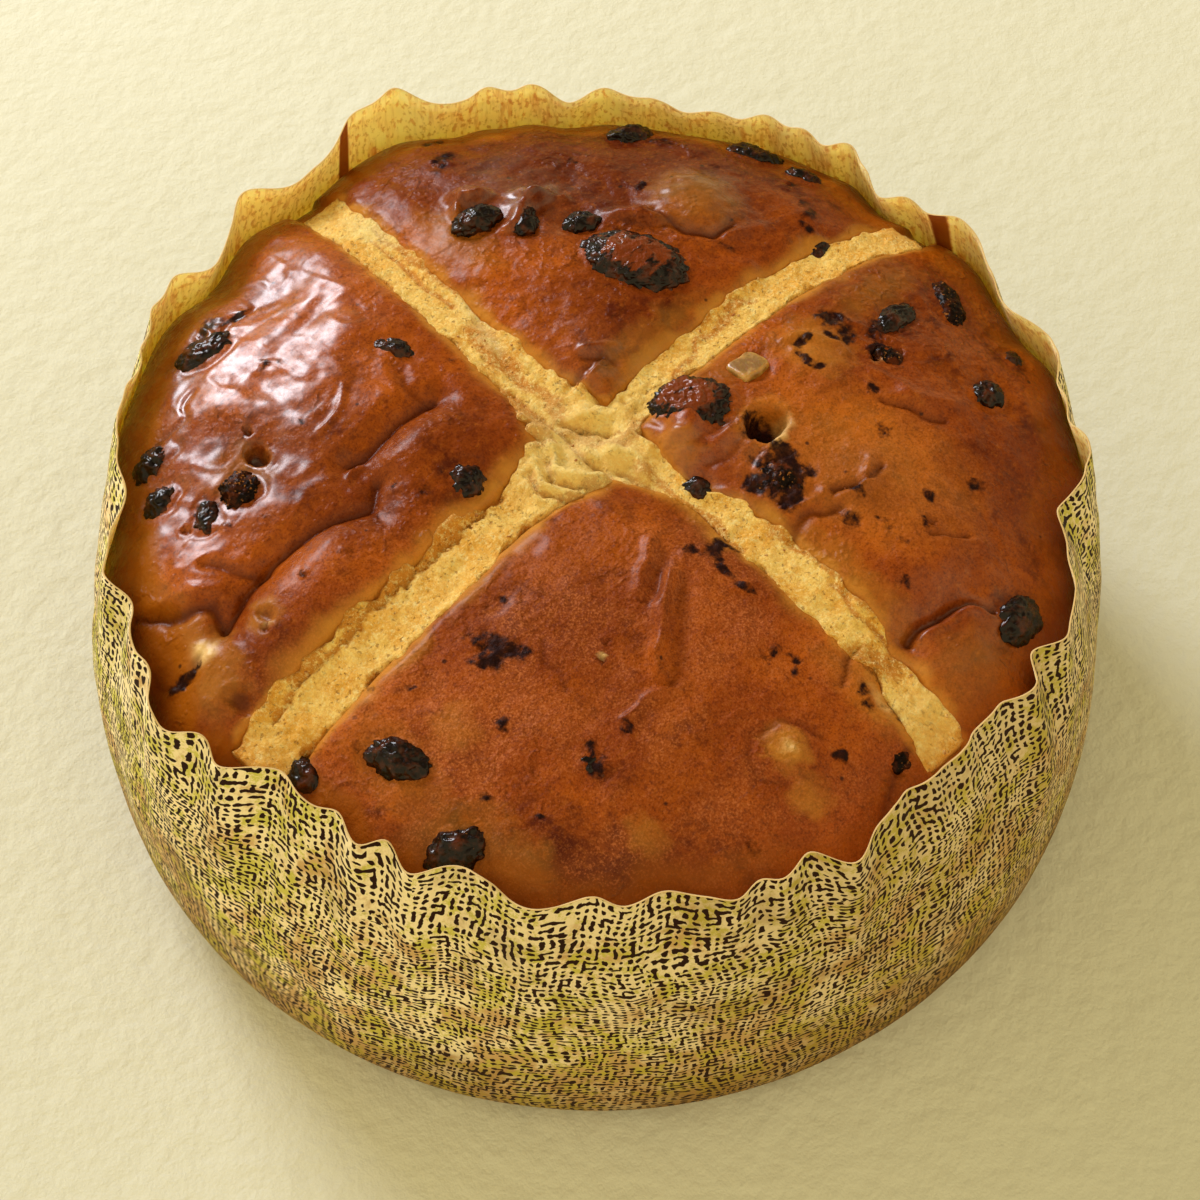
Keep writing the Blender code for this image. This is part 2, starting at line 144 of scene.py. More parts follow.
def add(tree, kind, settings=None, sockets=(), output=0):
    """Adds a node: its settings, then a value or a wire for each socket. Returns one output."""
    node = tree.nodes.new(kind)
    for name, value in (settings or {}).items():
        if name == "stops":
            ramp = node.color_ramp.elements
            while len(ramp) < len(value):
                ramp.new(0.5)
            for element, (position, colour) in zip(ramp, value):
                element.position = position
                element.color = (*colour, 1.0)
        else:
            setattr(node, name, value)
    for key, value in sockets.items() if isinstance(sockets, dict) else enumerate(sockets):
        socket = find(node.inputs, key)
        if isinstance(value, Wire):
            tree.links.new(value.socket, socket)
        elif socket.type == "RGBA" and len(value) == 3:
            socket.default_value = (*value, 1.0)
        else:
            socket.default_value = value
    return Wire(tree, find(node.outputs, output))


def tree_of(*parts):
    return next(part.tree for part in parts if isinstance(part, Wire))


def joined(x, y, z):
    return add(tree_of(x, y, z), "ShaderNodeCombineXYZ", None, (x, y, z))


def parts_of(place):
    """The X of a place. Its Y and Z are the other outputs."""
    return add(place.tree, "ShaderNodeSeparateXYZ", None, (place,))


def moved(place, push):
    return add(place.tree, "ShaderNodeVectorMath", {"operation": "ADD"}, (place, push))


def scaled(place, by):
    return add(place.tree, "ShaderNodeVectorMath", {"operation": "MULTIPLY"}, (place, by))


def least(a, b):
    return a.maths("MINIMUM", b) if isinstance(a, Wire) else np.minimum(a, b)


def clamp(value):
    """Keeps a number, an array or a wire from 0 to 1."""
    if isinstance(value, Wire):
        return value.maths("MINIMUM", 1.0).maths("MAXIMUM", 0.0)
    return np.clip(value, 0.0, 1.0)


def near(angle, place, half):
    """1 in this direction and falling away over the half width in degrees, all round the circle."""
    sharpness = 2.0 / math.radians(half) ** 2
    if isinstance(angle, Wire):
        return (((angle - math.radians(place)).maths("COSINE") - 1.0) * sharpness).maths("EXPONENT")
    return np.exp((np.cos(angle - math.radians(place)) - 1.0) * sharpness)


def crest(angle, place):
    """1 in this direction, with straight slopes away from a blunt tip, all round the circle."""
    blunt = math.radians(CREST_BLUNT)
    spread = math.radians(CREST_SPREAD)
    if isinstance(angle, Wire):
        turned = 1.0 - (angle - math.radians(place)).maths("COSINE")
        return ((blunt - (turned * 2.0 + blunt**2).maths("SQRT")) / spread).maths("EXPONENT")
    turned = 1.0 - np.cos(angle - math.radians(place))
    return np.exp((blunt - np.sqrt(turned * 2.0 + blunt**2)) / spread)


def bends(angle):
    return sum((near(angle, place, half) * out for place, out, half in BENDS), 0.0 * angle)


def rim_ripples():
    """How far each crest or hollow brings the bent rim out, to reach its point of the rim line."""
    places = [place for place, radius in RIM_LINE]
    angles = np.radians(places)
    reach = np.stack([crest(angles, place) for place in places], axis=1)
    wanted = np.array([radius for place, radius in RIM_LINE]) - RIM_RADIUS - bends(angles)
    return list(zip(places, np.linalg.solve(reach, wanted).tolist()))


RIPPLES = rim_ripples()


def ripples(angle):
    return sum((crest(angle, place) * out for place, out in RIPPLES), 0.0 * angle)


def wall(angle, height, rippled=None):
    """The outside radius of the case in millimetres, for arrays and for wires alike."""
    rippled = ripples(angle) if rippled is None else rippled
    corner = clamp(1.0 - height / BELLY_HEIGHT) ** CORNER_POWER
    shoulder = clamp((height - BELLY_HEIGHT) / (RIM_HEIGHT - BELLY_HEIGHT)) ** SHOULDER_POWER
    bent = clamp((height - BEND_START) / (RIM_HEIGHT - BEND_START)) ** 1.5
    crimped = clamp((height - CRIMP_START) / (RIM_HEIGHT - CRIMP_START)) ** 2.0
    radius = BELLY_RADIUS - corner * (BELLY_RADIUS - BASE_RADIUS)
    radius = radius - shoulder * (BELLY_RADIUS - RIM_RADIUS)
    return radius + bends(angle) * bent + rippled * RIPPLE_OUT * crimped


def linear(red, green, blue):
    """A colour given from 0 to 255, as the linear colour that a shader takes."""
    shares = [value / 255.0 for value in (red, green, blue)]
    return tuple(s / 12.92 if s <= 0.04045 else ((s + 0.055) / 1.055) ** 2.4 for s in shares)


def new_look(name, **constants):
    """A material with a Principled shader. What is the same all over is set on its own sockets."""
    look = bpy.data.materials.new(name)
    look.use_nodes = True
    shader = look.node_tree.nodes["Principled BSDF"]
    for label, value in constants.items():
        shader.inputs[label.replace("_", " ")].default_value = value
    return look


def feed(look, label, wire):
    shader = look.node_tree.nodes["Principled BSDF"]
    look.node_tree.links.new(wire.socket, shader.inputs[label])


def in_mm(tree):
    """A place on the piece in millimetres."""
    return scaled(add(tree, "ShaderNodeTexCoord", output="Object"), (1000.0, 1000.0, 1000.0))


def sheet_in_mm(tree):
    """A place on the flat sheet of paper in millimetres: round the wall, and up it."""
    return scaled(add(tree, "ShaderNodeUVMap", {"uv_map": "UVMap"}), (1000.0, 1000.0, 0.0))


def noise(place, size, detail=2.0, rough=0.5, seed=0.0, output=0):
    """Random swells of this size, from 0 to 1."""
    settings = {"noise_dimensions": "4D"}
    sockets = {"Vector": place, "W": seed, "Scale": 1.0 / size, "Detail": detail, "Roughness": rough}
    return add(place.tree, "ShaderNodeTexNoise", settings, sockets, output)


def rise(value, low, high):
    """0 below low, 1 above high and a smooth slope between."""
    settings = {"interpolation_type": "SMOOTHSTEP"}
    sockets = {"Value": value, "From Min": low, "From Max": high, "To Min": 0.0, "To Max": 1.0}
    return add(value.tree, "ShaderNodeMapRange", settings, sockets)


def mix(a, b, share):
    """Colour b over colour a."""
    settings = {"data_type": "RGBA"}
    sockets = {"Factor_Float": share, "A_Color": a, "B_Color": b}
    return add(tree_of(share, a, b), "ShaderNodeMix", settings, sockets, "Result_Color")


def layered(colour, *coats):
    """Lays each colour over the ones before it, at the share given with it."""
    for over, share in coats:
        colour = mix(colour, over, share)
    return colour


def bump(height, strength, distance):
    sockets = {"Strength": strength, "Distance": distance, "Height": height}
    return add(height.tree, "ShaderNodeBump", None, sockets)


def shape_tree(name, sizes):
    """A Geometry Nodes tree with a named input for each size, and the wires from its inputs."""
    tree = bpy.data.node_groups.new(name, "GeometryNodeTree")
    tree.interface.new_socket("Geometry", in_out="OUTPUT", socket_type="NodeSocketGeometry")
    tree.interface.new_socket("Surface", in_out="INPUT", socket_type="NodeSocketGeometry")
    for label, value in sizes.items():
        kind = "NodeSocketInt" if isinstance(value, int) else "NodeSocketFloat"
        tree.interface.new_socket(label, in_out="INPUT", socket_type=kind).default_value = value
    source = tree.nodes.new("NodeGroupInput")
    return tree, {label: Wire(tree, source.outputs[label]) for label in ("Surface", *sizes)}


def step(shape, kind, settings=None, **sockets):
    """Passes the shape through one more node."""
    return add(shape.tree, "GeometryNode" + kind, settings, {"Geometry": shape, **sockets})


def close_tree(shape, *finishes):
    """Ends a tree: instances are made real, and each finish goes on the faces chosen for it."""
    shape = step(shape, "RealizeInstances")
    for look, chosen in finishes:
        shape = step(shape, "SetMaterial", Selection=chosen, Material=look)
    sink = shape.tree.nodes.new("NodeGroupOutput")
    shape.tree.links.new(shape.socket, sink.inputs[0])


def grown(name, tree, values=None, base=None):
    """Runs a tree on a copy of the base mesh, or on nothing, and keeps the result as a mesh."""
    holder = bpy.data.objects.new(name + "_nodes", base or bpy.data.meshes.new(name + "_nodes"))
    bpy.context.scene.collection.objects.link(holder)
    modifier = holder.modifiers.new("shape", "NODES")
    modifier.node_group = tree
    sockets = {s.name: s.identifier for s in tree.interface.items_tree if s.in_out == "INPUT"}
    for label, value in (values or {}).items():
        modifier[sockets[label]] = value
    graph = bpy.context.evaluated_depsgraph_get()
    mesh = bpy.data.meshes.new_from_object(holder.evaluated_get(graph))
    bpy.data.objects.remove(holder)
    for index in reversed(range(len(mesh.materials))):
        if mesh.materials[index] is None:
            mesh.materials.pop(index=index)
    mesh.name = name
    return mesh


def show(name, mesh, slot, *nodes):
    """Puts a finished mesh in the scene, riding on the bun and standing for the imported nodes."""
    obj = bpy.data.objects.new(name, mesh)
    bpy.context.scene.collection.objects.link(obj)
    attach(obj, "root")
    if nodes:
        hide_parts(*nodes)
    return obj


INK = linear(40, 12, 0)
STRAW = linear(255, 234, 188)
YELLOW_GREEN = linear(206, 196, 70)
PINK_TAN = linear(208, 164, 104)
LOW_BROWN = linear(138, 98, 32)
LINING = linear(250, 212, 158)
LINING_BROWN = linear(176, 118, 60)
CUT_EDGE = linear(214, 178, 112)
GLUE_BROWN = linear(120, 62, 14)
PALE_LINING = linear(252, 222, 168)
FIBRE = (0.30, 0.20, 0.08)
WALL_ROUND = 86.0  # the radius on which the print is measured
# The print's two weaves: the pitch across and up, how many dots are joined each way, and a seed.
FINE_WEAVE = (1.25, 0.98, 0.22, 0.1, 4.0)
COARSE_WEAVE = (1.42, 1.32, 0.14, 0.14, 9.0)
THREAD_SWAY = ((22.0, 9.0, 1.0), (4.5, 1.9, 2.0), (1.5, 1.1, 3.0))  # size, reach and seed
GLUE_LINES = ((167.0, 1.5), (86.5, 1.9))  # direction in degrees and half width


def chance(column, line, seed):
    """A random number from 0 to 1 for each crossing of a lattice."""
    spot = joined(column, line, seed)
    return add(column.tree, "ShaderNodeTexWhiteNoise", {"noise_dimensions": "3D"}, (spot,))


def weave_ink(place, pitch_across, pitch_up, joined_across, joined_up, seed):
    """Ink dots on a lattice of threads. Bars join some of them into dashes, hooks and posts."""
    parts = parts_of(place)
    u = parts * (1.0 / pitch_across)
    v = parts.other("Y") * (1.0 / pitch_up)
    near_u, near_v = u.maths("ROUND"), v.maths("ROUND")
    across, up = (u - near_u).maths("ABSOLUTE"), (v - near_v).maths("ABSOLUTE")
    dot = chance(near_u, near_v, seed)
    away = ((across / 0.28) ** 2.0 + (up / 0.31) ** 2.0) ** 0.5
    dots = dot * 0.6 + 0.72 - away - dot.maths("LESS_THAN", 0.08) * 4.0
    bar = chance(u.maths("FLOOR"), near_v, seed + 17.3).maths("GREATER_THAN", joined_across)
    bars = 1.0 - up / 0.22 - bar * 4.0
    post = chance(near_u, v.maths("FLOOR"), seed + 31.7).maths("GREATER_THAN", joined_up)
    posts = 1.0 - across / 0.21 - post * 4.0
    field = dots.maths("MAXIMUM", bars).maths("MAXIMUM", posts)
    ragged = noise(place, 0.7, 1.0, 0.5, seed) - 0.5
    return rise(field + ragged * 1.9, -0.12, 0.06)


def wandering(place, size, reach, seed):
    """The place pushed about by soft noise, as threads wander."""
    push = noise(place, size, 1.0, seed=seed, output="Color")
    push = scaled(moved(push, (-0.5, -0.5, -0.5)), (reach, reach, 0.0))
    return moved(place, push)


def printed_paper():
    look = new_look("case_print", Roughness=0.65, Specular_IOR_Level=0.12)
    sheet = sheet_in_mm(look.node_tree)
    threads = sheet
    for size, reach, seed in THREAD_SWAY:
        threads = wandering(threads, size, reach, seed)
    height = parts_of(sheet).other("Y")
    patches = noise(sheet, 17.0, 1.0, 0.5, 12.0)
    ends = rise(height, 46.0, 70.0) * 0.3 + (1.0 - rise(height, 4.0, 16.0)) * 0.3
    coarse_share = (patches + ends).maths("GREATER_THAN", 0.62)
    coarse = weave_ink(threads, *COARSE_WEAVE) * coarse_share
    ink = coarse + weave_ink(threads, *FINE_WEAVE) * (1.0 - coarse_share)
    green = rise(noise(sheet, 6.0, 6.0, 0.82, 21.0), 0.48, 0.57)
    pink = rise(noise(sheet, 9.0, 5.0, 0.75, 33.0) - height * 0.0018, 0.38, 0.52)
    shade = rise(noise(sheet, 13.0, 4.0, 0.7, 70.0), 0.52, 0.66)
    # Painted shade: the print darkens in mottles towards the side away from the lamp, and towards the
    # foot where the wall curves under.
    painted_shade = near(parts_of(sheet) * (1.0 / WALL_ROUND), 0.0, 50.0) * 0.5
    painted_shade = painted_shade + (1.0 - rise(height, 2.0, 34.0)) * 0.6
    painted_shade = painted_shade * (0.55 + noise(sheet, 14.0, 2.0, 0.6, 60.0) * 0.9)
    fibres = noise(scaled(sheet, (1.0, 0.25, 1.0)), 0.35, 2.0, 0.6, 41.0)
    colour = layered(
        STRAW,
        (PINK_TAN, pink * 0.9),
        (YELLOW_GREEN, green * 0.9),
        (LOW_BROWN, shade * 0.4),
        (LOW_BROWN, clamp(painted_shade)),
        (FIBRE, rise(fibres, 0.5, 0.8) * 0.22),
        (INK, ink),
    )
    feed(look, "Base Color", colour)
    crinkle = noise(sheet, 9.0, 3.0, 0.55, 50.0) * 1.4 + noise(sheet, 1.1, 2.0, 0.5, 51.0) * 0.1
    feed(look, "Normal", bump(crinkle, 0.55, 0.0006))
    return look


def paper_lining():
    look = new_look(
        "case_lining",
        Roughness=0.6,
        Specular_IOR_Level=0.2,
        Subsurface_Weight=0.75,
        Subsurface_Radius=(1.0, 0.75, 0.4),
        Subsurface_Scale=0.0015,
    )
    sheet = sheet_in_mm(look.node_tree)
    streaks = noise(scaled(sheet, (1.0, 0.16, 1.0)), 0.9, 2.0, 0.6, 3.0)
    blotches = noise(sheet, 12.0, 2.0, 0.6, 5.0)
    threads = noise(scaled(sheet, (1.0, 0.55, 1.0)), 0.8, 2.0, 0.6, 7.0)
    colour = layered(
        LINING,
        (LINING_BROWN, rise(streaks, 0.44, 0.7) * 0.55),
        (PALE_LINING, rise(blotches, 0.48, 0.66) * 0.5),
        (LINING_BROWN, rise(threads, 0.5, 0.64) * 0.6),
    )
    across = parts_of(sheet)
    for degrees, half in GLUE_LINES:
        seam = (across - math.radians(degrees) * WALL_ROUND).maths("ABSOLUTE")
        colour = mix(colour, GLUE_BROWN, 1.0 - rise(seam, half * 0.7, half * 1.1))
    feed(look, "Base Color", colour)
    feed(look, "Normal", bump(noise(sheet, 1.5, 3.0, 0.6, 9.0), 0.3, 0.0003))
    return look


def cut_edge():
    look = new_look("case_cut_edge", Roughness=0.8)
    place = in_mm(look.node_tree)
    feed(look, "Base Color", mix(CUT_EDGE, LINING, noise(place, 2.0, 2.0) * 0.5))
    return look


# The case's mesh runs up the outside, over the cut edge and down the lining, in rows.
COLUMNS = 900
BASE_ROWS = 6
WALL_ROWS = 48
LINING_ROWS = 20
ALL_ROWS = BASE_ROWS + WALL_ROWS + 1 + LINING_ROWS + 2


def paper_case():
    sizes = {"Columns": COLUMNS + 1, "Rows": ALL_ROWS + 1, "Rim Height": RIM_HEIGHT, "Paper": PAPER}
    tree, size = shape_tree("paper_case_shape", sizes)
    grid_sockets = {"Vertices X": size["Columns"], "Vertices Y": size["Rows"]}
    grid = add(tree, "GeometryNodeMeshGrid", None, grid_sockets)
    shares = parts_of(grid.other("UV Map"))
    angle = (shares - 0.5) * math.tau
    row = shares.other("Y") * ALL_ROWS
    up_outside = clamp((row - BASE_ROWS) / WALL_ROWS) ** 1.15
    inside_from = BASE_ROWS + WALL_ROWS
    down_inside = 1.0 - clamp((row - (inside_from + 1)) / LINING_ROWS)
    from_middle = least(clamp(row / BASE_ROWS), clamp((ALL_ROWS - row) / 2.0))
    inset = clamp(row - inside_from) * size["Paper"]
    share_up = least(up_outside, down_inside)
    beat = angle * CRIMPS_ROUND
    for turns, sway in CRIMP_SWAY:
        beat = beat + (angle * turns).maths("SINE") * sway
    rippled = ripples(angle)
    lean = (angle - math.radians(RIPPLE_TURN)).maths("COSINE") * RIPPLE_UP
    scallops = beat.maths("SINE") * SCALLOP + rippled * lean
    top = near(angle, TIP[0], TIP[2]) * TIP[1] + scallops * share_up ** 6.0
    height = share_up * (size["Rim Height"] + top * share_up ** 4.0)
    circle = scaled(joined(angle.maths("COSINE"), angle.maths("SINE"), 0.0), (60.0, 60.0, 0.0))
    spot = moved(circle, joined(0.0, 0.0, height))
    soft = noise(scaled(spot, (1.0, 1.0, 0.45)), 11.0, 2.0, 0.5, 2.0) - 0.55
    upper = clamp(share_up * 1.6)
    flutes = (beat + 0.8).maths("SINE") * FLUTE * share_up ** 3.0
    radius = wall(angle, height, rippled) + flutes + soft * (0.5 + upper * 2.2) * clamp(share_up * 5.0)
    radius = (radius - inset) * from_middle
    height = height.maths("MAXIMUM", inset)
    place = joined(angle.maths("COSINE") * radius, angle.maths("SINE") * radius, height)
    shape = step(grid, "SetPosition", Position=scaled(place, (0.001, 0.001, 0.001)))
    sheet = joined(angle * (WALL_ROUND * 0.001), share_up * (RIM_HEIGHT * 0.001), 0.0)
    settings = {"data_type": "FLOAT2", "domain": "CORNER"}
    shape = step(shape, "StoreNamedAttribute", settings, Name="UVMap", Value=sheet)
    shape = step(shape, "MergeByDistance", Distance=0.00002)
    looks = ((printed_paper(), 0.0), (cut_edge(), inside_from), (paper_lining(), inside_from + 1))
    finishes = [(look, row.maths("GREATER_THAN", first_row)) for look, first_row in looks]
    close_tree(shape, *finishes)
    return grown("paper_case_dressed", tree, sizes)


case_mesh = paper_case()
case_mesh.shade_smooth()
show("paper_case_dressed", case_mesh, "paper", "paper_case")

# ------------------------------------------------------------------------------- The fruit's places
# Vine fruit and one cube of candied peel, kneaded through the dough, so that each lies as it
# happened to, half sunk in the crust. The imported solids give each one's middle, length, width,
# height and lie.


def measured(node):
    """A packed fruit's middle, its half sizes from longest to shortest, and its turn, in mm."""
    corners = np.array([vertex.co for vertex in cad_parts[node].data.vertices]) * 1000.0
    corners = np.unique(np.round(corners, 3), axis=0)
    middle = (corners.min(0) + corners.max(0)) / 2.0
    axes = np.linalg.svd(corners - corners.mean(0), full_matrices=False)[2]
    upright = int(np.argmax(np.abs(axes[:, 2])))
    order = [index for index in range(3) if index != upright] + [upright]
    axes = axes[order]
    axes[2] *= np.sign(axes[2, 2])
    if np.linalg.det(axes) < 0.0:
        axes[1] *= -1.0
    reach = (corners - middle) @ axes.T
    middle = middle + (reach.max(0) + reach.min(0)) / 2.0 @ axes
    return middle, (reach.max(0) - reach.min(0)) / 2.0, axes


RAISIN_NODES = sorted(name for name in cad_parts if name.startswith("raisin"))
FRUIT = {name: measured(name) for name in RAISIN_NODES + ["peel"]}


def from_fruit(x, y, name):
    """How far each place lies outside a fruit's outline seen from above, in mm."""
    middle, half, axes = FRUIT[name]
    along = (x - middle[0]) * axes[0, 0] + (y - middle[1]) * axes[0, 1]
    across = (x - middle[0]) * axes[1, 0] + (y - middle[1]) * axes[1, 1]
    return (np.hypot(along / half[0], across / half[1]) - 1.0) * half[1]


# ------------------------------------------------------------------------------- The loaf
# Rich yeast dough, risen and baked in the case. It domes over the rim, and its skin is brown and
# shiny with glaze, with folds where the rising dough overlapped, burst bubbles, and a groove where
# the cross lies. Round the edge, where the case kept the heat off, it stays amber. Its colour also
# carries painted light: a painted sheen, and painted shade in creases, holes and at the edges.

LOAF_EDGE = 58.0
LOAF_TOP = 79.6
DOME_POWER = 2.6
WALL_GAP = 1.1
GROOVE_DEPTH = 4.4
GROOVE_END_DEPTH = 1.8
GROOVE_WIDTH = 8.5
BED_DEPTH = 1.8  # the skin lies this far down under the paste
FRUIT_DIP = 0.35  # and this far down close round a fruit
SWAY = 0.9
ARM_REACH = {"+x": 76.0, "-x": 75.0, "+y": 75.0, "-y": 77.0}

# Where the rings that close the loaf lie under its edge: height, and the room left to the paper.
RINGS = ((50.0, 1.4), (36.0, 1.3), (24.0, 1.2), (12.0, 1.2), (4.0, 1.6), (PAPER + 0.3, 3.4))

# Swells and hollows: place, half length, half width, turn in degrees and height, in millimetres.
SWELLS = (
    (-25, 48, 9, 9, 0, 1.6), (-10, 60, 8, 8, 0, 1.0), (-45, 23, 7, 7, 0, 1.1),
    (6, 14, 9, 9, 0, 1.2), (31, 34, 14, 14, 0, 0.9), (52, 22, 10, 10, 0, 0.8),
    (-12, -50, 8, 17, 0, 2.0), (-40, -24, 16, 14, 0, 1.2), (-38, -40, 5, 5, 0, -1.2),
    (33, -22, 15, 15, 0, 0.8), (61, -20, 6, 6, 0, 0.9), (-18, -22, 6, 10, 0, 1.3),
    (-30, -63, 7, 5, 30, 0.9), (-12, -73, 4, 3, 0, 0.6), (30, 45, 4, 4, 0, 0.6),
    (25, 55, 5, 5, 0, 0.6), (12, 36, 5, 4, 0, 0.8), (55, -44, 5, 4, 0, 0.4),
    (44, -60, 6, 5, 0, 0.5), (22, -53, 4, 4, 0, 0.4), (67, -21, 4, 4, 0, 0.5),
    (-56, -8, 6, 9, 20, 0.8), (-50, -37, 7, 4, 40, 0.6), (-61, -18, 4, 9, 15, -0.8),
    (-52, -16, 3, 8, 20, -0.7), (-47, -30, 5, 3, 0, -0.7), (-45, -12, 6, 4, 30, 0.7),
    (5, 62, 3, 6, 0, 0.5), (45, 60, 8, 6, -40, 0.8), (-38, 62, 10, 6, 35, 0.8),
    (-60, 40, 8, 8, 0, 0.7), (-58, 20, 7, 7, 0, -0.6), (8, -38, 3, 10, 0, 0.7),
    (48, 5, 8, 4, 0, 0.7), (18, -25, 8, 10, 30, 0.5), (50, -30, 10, 8, 30, 0.5),
    (-17, -70, 3.5, 3, 0, 1.0), (66, 18, 5, 7, 0, 0.9), (38, 26, 4, 5, 0, 0.6),
)

# Ridges and creases of the skin: height, half width, then the line that each follows.
SKIN_LINES = (
    (-0.6, 0.9, ((-34, -13), (-29, -14.5), (-25, -15))),
    (-1.8, 3.6, ((-24.5, -14), (-24.5, -25), (-24, -32))),
    (-1.0, 0.8, ((-24.3, -14), (-24.6, -20), (-24.5, -26), (-24, -32))),
    (-2.3, 3.8, ((-18, -31), (-15.5, -35), (-19, -41), (-20.5, -48), (-20, -58), (-18, -64))),
    (-1.2, 0.8, ((-18, -31), (-15.5, -35), (-19, -41), (-20.5, -48), (-20.3, -58), (-18, -64))),
    (0.9, 0.8, ((-23, -31), (-22.6, -33.5))),
    (-0.9, 1.1, ((-29, -59), (-25, -57), (-20, -53))),
    (-1.4, 1.1, ((-33, -71), (-27, -69), (-25, -66), (-22, -63), (-19, -64))),
    (0.7, 1.3, ((-32, -69), (-27.5, -66), (-25.5, -63.5), (-22, -61))),
    (1.1, 0.8, ((21, -9), (24, -14), (27, -17))),
    (-0.6, 1.4, ((23.5, -8), (26.5, -13), (30, -15.5))),
    (1.2, 0.7, ((28, -12), (31, -15), (36, -21), (39.5, -25.5))),
    (-0.5, 1.6, ((29.5, -10), (34, -15), (39, -21), (42, -25))),
    (0.8, 0.6, ((43, -23), (42.4, -25.7), (40.4, -30.6), (40.2, -34))),
    (1.0, 0.9, ((28.5, -11), (31, -17), (34, -20), (37, -22.5))),
    (0.7, 0.5, ((37, -22.5), (39.7, -25.6))),
    (0.6, 0.9, ((36.4, -5.7), (37.4, -2.4), (40.6, -2.1))),
    (-0.8, 0.5, ((56.2, 2.1), (57.2, -1.5), (59.3, -4.3))),
    (0.4, 0.5, ((50, -28), (50.4, -23), (51, -19))),
    (-0.6, 0.7, ((56.4, -20), (57, -16), (59.5, -13.8), (62.4, -13.4))),
    (-0.8, 0.6, ((27.6, 39), (30.3, 40), (33.6, 41.3), (36.7, 43.8))),
    (0.8, 1.6, ((29, 42.5), (32, 44.5), (35, 47))),
    (-0.9, 0.5, ((34.8, 19.7), (36.2, 22.5), (37.2, 25.7), (37.2, 28))),
    (0.7, 0.7, ((36, 19), (37.6, 22.5), (38.6, 25.5))),
    (-0.6, 0.5, ((50.3, 25), (51.5, 27.5), (54, 30))),
    (0.9, 0.8, ((7.9, 37), (9.3, 40), (14.3, 42.1), (16, 41.6))),
    (1.2, 1.1, ((-51.6, 17.5), (-53.4, 20.3), (-51, 23))),
    (1.3, 1.3, ((-41.5, 21), (-44.6, 25.5), (-43.6, 29.6), (-41, 33))),
    (-1.2, 0.8, ((-27.2, 41.2), (-21, 41.4), (-16.4, 44.6), (-16, 49))),
    (0.6, 1.0, ((-14.4, 46.4), (-13.9, 49.8), (-13.4, 53))),
    (-0.5, 0.5, ((22, -33), (25, -36), (30, -37))),
    (0.5, 0.5, ((-36, -22), (-33, -26), (-32, -30))),
    (-0.5, 0.6, ((-57, -38), (-54, -42), (-55, -47))),
    (-0.9, 1.2, ((36.5, 18), (34, 14), (35, 8))),
    (0.8, 0.8, ((34, 18.5), (32.6, 15.5), (33, 12))),
    (-1.7, 4.0, ((60, 9), (60, 19))),
    (-1.5, 0.9, ((60, 9.5), (60, 19), (61, 21), (65, 24))),
    (0.9, 1.0, ((61.8, 11), (61.8, 18.5), (63, 20.5), (66, 22.5))),
    (0.5, 0.8, ((36, 26), (38, 23.5), (40, 22))),
    (0.6, 0.8, ((34, 28), (37, 25.5), (38, 22))),
    (0.6, 0.8, ((52, 27), (54.5, 28), (57, 31))),
    (-0.9, 1.0, ((72, -3), (74, -9), (77, -15))),
    (0.8, 0.7, ((-14, 11), (-12, 14), (-10, 15.5))),
    (-0.7, 0.8, ((-13, 9.5), (-10.5, 12.5), (-8, 13.5))),
    (0.8, 0.7, ((-9, 5), (-9, 9), (-7.5, 12))),
    (-0.6, 0.8, ((-10.5, 4), (-11, 9))),
    (0.8, 0.6, ((-7.6, 6), (-9.4, 10.3), (-10.8, 13.5))),
    (0.5, 1.4, ((-16, 36), (-12, 39), (-8, 45))),
    (0.7, 1.2, ((-44.5, 33), (-43.5, 27), (-41, 22.5))),
    (-0.5, 1.2, ((-42.5, 33), (-41.5, 27), (-39, 23))),
    (0.6, 0.9, ((-54.5, 22), (-53, 19), (-50.5, 17.5))),
    (0.5, 0.8, ((20, 6), (24, 8.5), (30, 9))),
    (0.6, 0.9, ((13, 8), (15, 11), (15.5, 15))),
    (-0.5, 0.9, ((16, 9), (18, 12), (18, 16))),
    (0.5, 0.7, ((57, -16.5), (60, -16), (63, -18))),
    (-0.5, 0.8, ((55, -21), (57, -24), (60, -25), (64, -23))),
    (0.5, 0.8, ((12, 47), (16, 50), (20, 50))),
    (0.5, 0.9, ((22, 42), (27, 43.5), (33, 42))),
    (-0.5, 0.7, ((-64, -19), (-64.5, -22), (-63.5, -25))),
    (0.6, 1.0, ((-14, -66), (-9, -68), (-4.5, -67))),
    (-0.7, 0.8, ((-24, -77), (-18, -76), (-15.5, -73), (-17.5, -70.5))),
    (0.4, 0.8, ((0, 13), (1, 16), (0.5, 20))),
    (0.5, 0.8, ((9, 22.5), (12, 20), (13, 16))),
)

# Where the crust has risen over a fruit: place, half length, half width, turn and height.
COVERS = (
    (11.4, 7.6, 3.6, 3.4, 28, 1.1), (9.0, 11.4, 3.0, 3.4, 28, 1.7),
    (-28.2, 38.8, 6.0, 1.6, 35, 2.0), (-25, 48.5, 7.6, 6.6, 0, 1.3),
    (-53.6, 22.2, 3.4, 2.0, 40, 2.0), (-45.4, 29.2, 2.8, 1.8, 40, 1.9),
)

